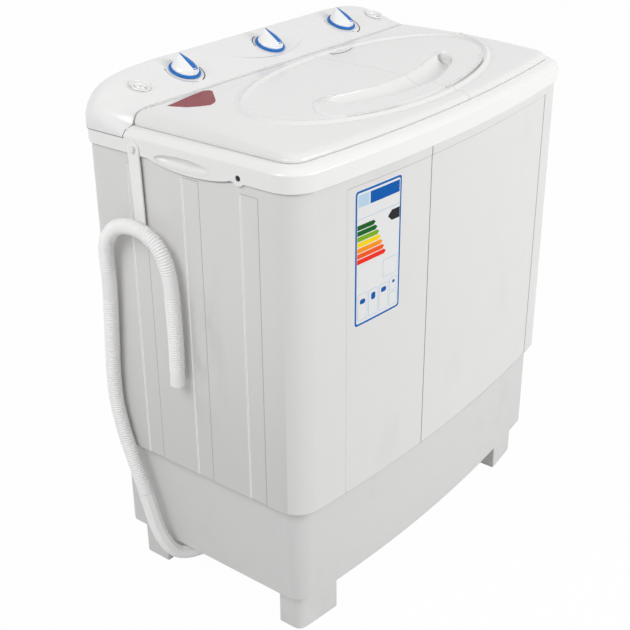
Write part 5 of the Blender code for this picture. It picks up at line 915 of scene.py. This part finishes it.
def matched(outline, half_x, half_y):
    """A closed curve from its left end counter-clockwise, sampled to match the oval's turns."""
    even, _ = evenly(smooth_through(outline[-1:] + outline + outline[:2], 8)[8:-8], 0.0005)
    table = [0.0]
    for step in range(TURN_STEPS):
        angle = tau * (step + 0.5) / TURN_STEPS - pi
        table.append(table[-1] + hypot(half_x * sin(angle), half_y * cos(angle)))
    shares = [table[round((turn + pi) / tau * TURN_STEPS) % TURN_STEPS] / table[-1] for turn in lid_turns]
    return [even[min(len(even) - 1, round(share * (len(even) - 1)))] for share in shares]


def offset(curve, distance):
    """The curve moved outward by a distance, or inward where that is negative."""
    moved = []
    for number, spot in enumerate(curve):
        way = curve[(number + 1) % len(curve)] - curve[number - 1]
        normal = Vector((way.y, -way.x))
        if normal.length > 1e-9:
            normal.normalize()
        moved.append(spot + normal * distance)
    return moved


def over(curve, lift, push):
    """A ring beside a curve, at a height over the lids' top."""
    return [(spot.x, spot.y, crown(spot.y) + lift) for spot in offset(curve, push)]


def between_rings(outer, inner, parts, power):
    """Rings from an outer one to another, with its height over the lids' top fading by a power."""
    made = []
    for share in (step / parts for step in range(1, parts)):
        ring = []
        for (ax, ay, az), (bx, by, *_) in zip(outer, inner):
            y = ay + (by - ay) * share
            ring.append((ax + (bx - ax) * share, y, crown(y) + (az - crown(ay)) * (1 - share) ** power))
        made.append(ring)
    return made


rings = [[(x, y, lid_foot(y)) for x, y in lid_plan]]
for side_in, front_in, rear_in, rise_side, rise_front in smooth_through(ROLL, 4)[1:]:
    ring = []
    for x, y in lid_plan:
        rise = min(1.0, rise_front + (rise_side - rise_front) * clamp((y - LID_FRONT) / -LID_FRONT) ** 0.7)
        if y < OVAL_CENTRE.y:
            moved = y + max(0.0, front_in) * (OVAL_CENTRE.y - y) / (OVAL_CENTRE.y - LID_FRONT)
        else:
            moved = y - max(0.0, rear_in) * (y - OVAL_CENTRE.y) / (LID_REAR - OVAL_CENTRE.y)
        ring.append((x * (1 - max(0.0, side_in) / (WIDTH / 2 - LID_INSET)), moved,
                     LID_FOOT + (crown(moved) - LID_FOOT) * rise))
    rings.append(ring)
lip_swell = [1 + 1.5 * max(0.0, -cos(turn)) ** 6 - 0.5 * max(0.0, sin(turn)) ** 4 for turn in lid_turns]
lip_rings = []
for grow, lift in LIP:
    spots = [oval_at(turn, grow * (swell if grow > 0 else 1)) for turn, swell in zip(lid_turns, lip_swell)]
    lip_rings.append([(spot.x, spot.y, crown(spot.y) + lift) for spot in spots])
pad = matched(PAD, 0.222, 0.055)
hollow = matched(HOLLOW, 0.175, 0.032)
rings += between_rings(rings[-1], lip_rings[0], 7, 2) + lip_rings
rings += between_rings(rings[-1], offset(pad, 0.0040), 10, 1)
for push, lift in ((0.0040, 0.0), (0.0024, 0.0), (0.0015, 0.0002), (0.0009, 0.0008), (0.0002, 0.0010),
                   (-0.0006, 0.0009)):
    rings.append(over(pad, lift, push))
rings += between_rings(rings[-1], offset(hollow, 0.0010), 5, 0)
for push, lift in ((0.0010, 0.0009), (0.0003, 0.0007), (-0.0001, 0.0002), (-0.0003, -0.0006)):
    rings.append(over(hollow, lift, push))


def front_line(x):
    """Where the hollow's front edge lies, by its place across."""
    for (ax, ay), (bx, by) in zip(HOLLOW[1:12], HOLLOW[2:13]):
        if ax <= x <= bx:
            return ay + (by - ay) * (x - ax) / (bx - ax)
    return HOLLOW[1][1] if x < 0 else HOLLOW[12][1]


feet = []
for spot, wall in zip(hollow, offset(hollow, -0.0036)):
    fore = front_line(spot.x)
    rear_share = clamp((spot.y - fore) / 0.020 - 0.15) * clamp((0.1985 - spot.x) / 0.014)
    foot = wall.lerp(Vector((spot.x, fore + 0.0045 + 0.22 * (spot.y - fore))), rear_share)
    fade = clamp((-0.075 - spot.x) / 0.065)
    feet.append(foot.lerp(Vector((-0.078, -0.1075)), 0.93 * fade * fade * (3 - 2 * fade)))
mouth = rings[-1]
for share in (0.06, 0.13, 0.22, 0.32, 0.43, 0.55, 0.67, 0.79, 0.90, 1.0):
    fall = 1 - (1 - share) ** 1.9
    rings.append([(x + (foot.x - x) * share, y + (foot.y - y) * share, z + (HOLLOW_FLOOR - z) * fall)
                  for (x, y, z), foot in zip(mouth, feet)])
whole, _, last = lofted(rings)
ops.triangulate(whole, faces=ops.contextual_create(whole, geom=last)["faces"])
ops.remove_doubles(whole, verts=whole.verts, dist=0.00002)
facing(whole)
lid_plastic = Finish("lid_white", 0.2, Coat_Weight=0.45, Coat_Roughness=0.08).dress(
    (14, 4), (0.818, 0.811, 0.800), (0.800, 0.793, 0.782), (8, 1, 0.190, 0.220), (24, 2, 0.00003, 0.5))
HINGE_PADS = {
    "wash": [(-0.0827, 0.1150), (-0.0981, 0.0926), (-0.0440, 0.0980), (-0.0285, 0.1150)],
    "spin": [(0.1010, 0.1150), (0.0851, 0.0970), (0.1069, 0.0870), (0.1400, 0.0943), (0.1706, 0.1150)],
}


def parts_of(built):
    return built.verts[:] + built.edges[:] + built.faces[:]


def sheet(spots, axes, step):
    """A flat sheet cut across at even steps, with its edge extruded, and the corners of that edge."""
    built = bmesh.new()
    ops.contextual_create(built, geom=[built.verts.new(spot) for spot in spots])
    for axis in axes:
        start, end = min(spot[axis] for spot in spots), max(spot[axis] for spot in spots)
        way = Vector((0, 0, 0))
        way[axis] = 1
        for number in range(1, ceil((end - start) / step)):
            place = way * (start + number * step)
            ops.bisect_plane(built, geom=parts_of(built), plane_co=place, plane_no=way)
    return built, grown(built, [edge for edge in built.edges if edge.is_boundary])[1]


def laid(name, outline, lift, finish, body):
    """A thin sheet of a plan outline that follows the lids' top, with its edge turned down."""
    built, sunk = sheet(at_height(outline, 0), (0, 1), 0.004)
    for corner in built.verts:
        corner.co.z = crown(corner.co.y) + (-0.0004 if corner in sunk else lift)
    return kept(name, facing(built), finish, body)


for name, side in (("wash", -1), ("spin", 1)):
    half = whole.copy()
    split = SPLIT_X + side * SPLIT_GAP
    ops.bisect_plane(half, geom=parts_of(half), dist=0.000001, plane_co=(split, 0, 0), plane_no=(-side, 0, 0),
                     clear_outer=True)
    parted = [edge for edge in half.edges if edge.is_boundary
              and all(abs(corner.co.x - split) < 1e-5 for corner in edge.verts)]
    for corner in grown(half, parted)[1]:
        corner.co.z = lid_foot(corner.co.y)
    ops.remove_doubles(half, verts=half.verts, dist=0.00002)
    lid_body = nodes[f"{name}_lid"]["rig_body"]
    lid = kept(f"{name}_lid_shell", facing(half), lid_plastic, lid_body, f"{name}_lid", slot="gloss_white")
    slots = [block((x - EAR_NEAR, HINGE_Y - 0.0071, 0.80), (x + EAR_NEAR, 0.14, 0.8425)) for x in LUGS[name]]
    worked(walled(lid, LID_WALL, even=False), *((CUT, slot) for slot in slots))
    shaded(lid, 50)
    for number, x in enumerate(LUGS[name]):
        for hand, sign in (("left", -1), ("right", 1)):
            near, far = sorted((x + sign * EAR_NEAR, x + sign * EAR_FAR))
            bore = drum(ROD_BORE, (near - 0.01, HINGE_Y, HINGE_Z), (far + 0.01, HINGE_Y, HINGE_Z), 24)
            ear = worked(block((near, 0.1172, 0.8357), (far, 0.1262, 0.8452)), (CUT, bore))
            rounded(adopted(ear, f"{name}_ear_{number + 1}_{hand}", lid_plastic, lid_body), 0.0003)
    pad_line = smooth_through(HINGE_PADS[name] + HINGE_PADS[name][:1], 6)[:-1]
    laid(f"{name}_hinge_pad", pad_line, 0.0004, lid_plastic, lid_body)
whole.free()

# Sticker. A dark red film with a thin white edge lies on the wash lid's rear corner.
STICKER = [(-0.3170, 0.1060), (-0.3130, 0.0930), (-0.3045, 0.0740), (-0.2900, 0.0620), (-0.2740, 0.0525),
           (-0.2620, 0.0555), (-0.2510, 0.0620), (-0.2300, 0.0850), (-0.2110, 0.1060), (-0.2110, 0.1140),
           (-0.2190, 0.1190), (-0.2600, 0.1150), (-0.2900, 0.1100)]
film = Finish("sticker_film", 0.45, Specular_IOR_Level=0.25).dress(
    (120, 4), (0.300, 0.052, 0.060), (0.245, 0.040, 0.048), None, (500, 2, 0.00002, 1))
film_edge = Finish("sticker_edge", 0.35).dress((200,), (0.86, 0.85, 0.85), (0.82, 0.81, 0.81))
middle = Vector((-0.262, 0.090))
wash_body = nodes["wash_lid"]["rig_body"]
laid("sticker_border", STICKER, 0.00012, film_edge, wash_body)
laid("sticker", [middle + (Vector(spot) - middle) * 0.955 for spot in STICKER], 0.00026, film, wash_body)

# Energy label on the front: a white card with a blue border, a header band, seven bars that grow downward, a
# black marker and a row of small boxes below. It is printed sheet on sheet over the bowed front.
LABEL_LEFT, LABEL_RIGHT, LABEL_TOP, LABEL_FOOT = -0.264, -0.156, 0.765, 0.545
LABEL_WIDE, LABEL_TALL = LABEL_RIGHT - LABEL_LEFT, LABEL_TOP - LABEL_FOOT
LABEL_SHEET = 0.00012
BAR_TOP, BAR_PITCH, BAR_TALL = 0.250, 0.0409, 0.034


def front_face(x, proud):
    """Y of the cabinet's bowed front at a place across, inside its sunk field."""
    return BOW_CENTRE - sqrt((BOW_RADIUS - FIELD_DEPTH + proud) ** 2 - x ** 2)


def card(name, outline, layer, finish):
    """A sheet of the label, given in shares of its width and of its height from the top."""
    built, sunk = sheet([(LABEL_LEFT + LABEL_WIDE * across, 0, LABEL_TOP - LABEL_TALL * down)
                         for across, down in outline], (0,), 0.008)
    for corner in built.verts:
        rise = -0.00004 if corner in sunk else LABEL_SHEET
        corner.co.y = front_face(corner.co.x, layer * LABEL_SHEET + rise)
    return kept(name, facing(built, (0, -1, 0)), finish, "cabinet", smooth=20)


def tile(left, top, right, foot, radius, steps=5):
    """A rounded rectangle in the label's shares."""
    box = round_box(left, -foot, right, -top, radius, radius * LABEL_WIDE / LABEL_TALL, steps)
    return [(x, -y) for x, y in box]


def print_finish(name, first, second):
    made = Finish(name, 0.6, Specular_IOR_Level=0.08)
    return made.dress((160, 3), first, second, None, (900, 2, 0.00001, 1))


card_white = print_finish("card_white", (0.80, 0.80, 0.795), (0.77, 0.77, 0.765))
card_blue = print_finish("card_blue", (0.010, 0.150, 0.470), (0.008, 0.130, 0.430))
band_blue = print_finish("band_blue", (0.004, 0.110, 0.430), (0.003, 0.095, 0.390))
pale_blue = print_finish("pale_blue", (0.50, 0.66, 0.80), (0.46, 0.62, 0.77))
marker_black = print_finish("marker_black", (0.018, 0.018, 0.020), (0.028, 0.028, 0.030))
bars = Finish("label_bars", 0.6, Specular_IOR_Level=0.08)
ramp = bars.tree.nodes.new("ShaderNodeValToRGB")
ramp.color_ramp.interpolation = "CONSTANT"
BAR_COLOURS = [(0.002, 0.100, 0.008), (0.002, 0.120, 0.008), (0.200, 0.420, 0.003), (0.950, 0.660, 0.002),
               (0.950, 0.290, 0.002), (0.90, 0.095, 0.008), (0.86, 0.022, 0.006)]
down = (bars.axis("Z") - LABEL_TOP) * (-1 / LABEL_TALL)
bar_share = (down - (BAR_TOP - 0.003)) * (1 / (len(BAR_COLOURS) * BAR_PITCH))
bars.tree.links.new(bar_share.socket, ramp.inputs["Fac"])
while len(ramp.color_ramp.elements) < len(BAR_COLOURS):
    ramp.color_ramp.elements.new(1.0)
for number, colour in enumerate(BAR_COLOURS):
    ramp.color_ramp.elements[number].position = number / len(BAR_COLOURS)
    ramp.color_ramp.elements[number].color = (*colour, 1)
pale = bars.node("ShaderNodeMapRange", "Result", Value=bars.noise(160, 3), To_Min=0.0, To_Max=0.03)
bars.dress(pale, Field(bars.tree, ramp.outputs["Color"]), (0.5, 0.5, 0.5))
for name, layer, finish, shape in (("card", 0, card_white, (0, 0, 1, 1, 0.06)),
                                   ("border", 1, card_blue, (0.018, 0.009, 0.982, 0.991, 0.05)),
                                   ("field", 2, card_white, (0.050, 0.025, 0.950, 0.975, 0.035)),
                                   ("block", 3, pale_blue, (0.075, 0.040, 0.290, 0.125, 0.006, 2)),
                                   ("band", 3, band_blue, (0.315, 0.040, 0.935, 0.125, 0.006, 2)),
                                   ("rule", 3, pale_blue, (0.060, 0.2065, 0.940, 0.2115, 0.001, 1))):
    card(f"label_{name}", tile(*shape), layer, finish)
for number in range(len(BAR_COLOURS)):
    top = BAR_TOP + number * BAR_PITCH
    tip = 0.43 + number * 0.0385
    card(f"label_bar_{number + 1}", [(tip, top + BAR_TALL / 2), (tip - 0.045, top), (0.055, top),
                                    (0.055, top + BAR_TALL), (tip - 0.045, top + BAR_TALL)], 3, bars)
card("label_marker", [(0.945, 0.235), (0.775, 0.235), (0.690, 0.2725), (0.775, 0.310), (0.945, 0.310)], 3,
     marker_black)
for number, (left, top, end, foot) in enumerate((
        (0.600, 0.580, 0.930, 0.715), (0.075, 0.755, 0.275, 0.955), (0.300, 0.755, 0.500, 0.955),
        (0.525, 0.755, 0.725, 0.955), (0.750, 0.740, 0.930, 0.840), (0.750, 0.855, 0.930, 0.955))):
    card(f"label_box_{number + 1}", tile(left, top, end, foot, 0.03), 3, pale_blue)
    card(f"label_pane_{number + 1}", tile(left + 0.009, top + 0.0045, end - 0.009, foot - 0.0045, 0.024), 4,
         card_white)
for number, (x, y, wide, tall) in enumerate(((0.175, 0.815, 0.055, 0.018), (0.400, 0.810, 0.045, 0.026),
                                            (0.625, 0.800, 0.055, 0.018), (0.845, 0.775, 0.030, 0.012))):
    card(f"label_shape_{number + 1}", tile(x - wide, y - tall, x + wide, y + tall, 0.03), 5, band_blue)

# Screws at the rim's sides, each with a cross slot in its domed head.
screw_black = Finish("screw_black", 0.35, 0.6).dress((300,), (0.03, 0.03, 0.032), (0.06, 0.06, 0.063))
for side, hand in ((-1, "left"), (1, "right")):
    head = turned([(0.0, -0.0023), (0.0022, -0.0023), (0.0022, -0.0016), (0.0042, -0.0016), *soft_profile(
        [(0.0042, -0.0010), (0.0038, -0.0004), (0.0022, -0.00005), (0.0, 0.0)], 4)], 40)
    face = Vector((side * RIM_HALF, SCREW_Y, SCREW_Z))
    turn = Matrix.Rotation(side * pi / 2, 4, "Y")
    ops.transform(head, matrix=Matrix.Translation(face) @ turn, verts=head.verts)
    arms = [Vector((0.0009, 0.0004, 0.0028)), Vector((0.0009, 0.0028, 0.0004))]
    screw = worked(as_object(head), *((CUT, block(face - arm, face + arm)) for arm in arms))
    adopted(screw, f"rim_screw_head_{hand}", screw_black, "cabinet", f"rim_screw_{hand}", slot="black_steel")

# Hose strap and drain elbow, in the hose's plastic.
elbow_plastic = Finish("elbow_plastic", 0.38).dress(
    (25,), (0.935, 0.930, 0.918), (0.910, 0.905, 0.893), None, (300, 3, 0.00005, 1))
hanger = softened("hose_hanger", elbow_plastic, 0.0006, "hose_plastic")

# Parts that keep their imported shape, each in its own material.
tub_plastic = Finish("tub_plastic", 0.35).dress(
    (20,), (0.85, 0.86, 0.87), (0.80, 0.81, 0.82), None, (80, 3, 0.0001, 0.4))
grey_plastic = Finish("inner_plastic", 0.5).dress((30,), (0.36, 0.38, 0.41), (0.30, 0.32, 0.34))
steel = Finish("steel", 0.32, 1.0).dress((200, 2, (1, 1, 12)), (0.64, 0.64, 0.65), (0.52, 0.52, 0.53))
casing = Finish("motor_casing", 0.5, 0.7).dress((60, 4), (0.44, 0.45, 0.46), (0.34, 0.35, 0.36))
rubber = Finish("rubber", 0.75).dress((90,), (0.045, 0.045, 0.045), (0.03, 0.03, 0.03))
dressing = {
    "gloss_white": gloss_plastic, "body_plastic": body_plastic, "base_plastic": base_plastic,
    "tub_plastic": tub_plastic, "hose_plastic": elbow_plastic, "knob_plastic": knob_blue,
    "inner_plastic": grey_plastic, "black_plastic": rubber, "motor_metal": casing, "steel": steel,
    "rubber": rubber, "black_steel": rubber,
}
for part in frame["record"]["subparts"]:
    slots = nodes[part["node"]].data.materials
    slots.clear()
    slots.append(dressing[part["material_slot"]].material)

# Floor. It reads white where it is looked at and keeps the machine's shadow.
grid = bmesh.new()
ops.create_grid(grid, x_segments=1, y_segments=1, size=14)
floor = as_object(grid, "floor")
floor_white = Finish("floor_white", 0.9, Base_Color=(0.74, 0.74, 0.74, 1))
white_where_seen(floor_white.tree, floor_white.shader.outputs[0], "Material Output", 0.98)
floor.data.materials.append(floor_white.material)

bpy.context.view_layer.update()
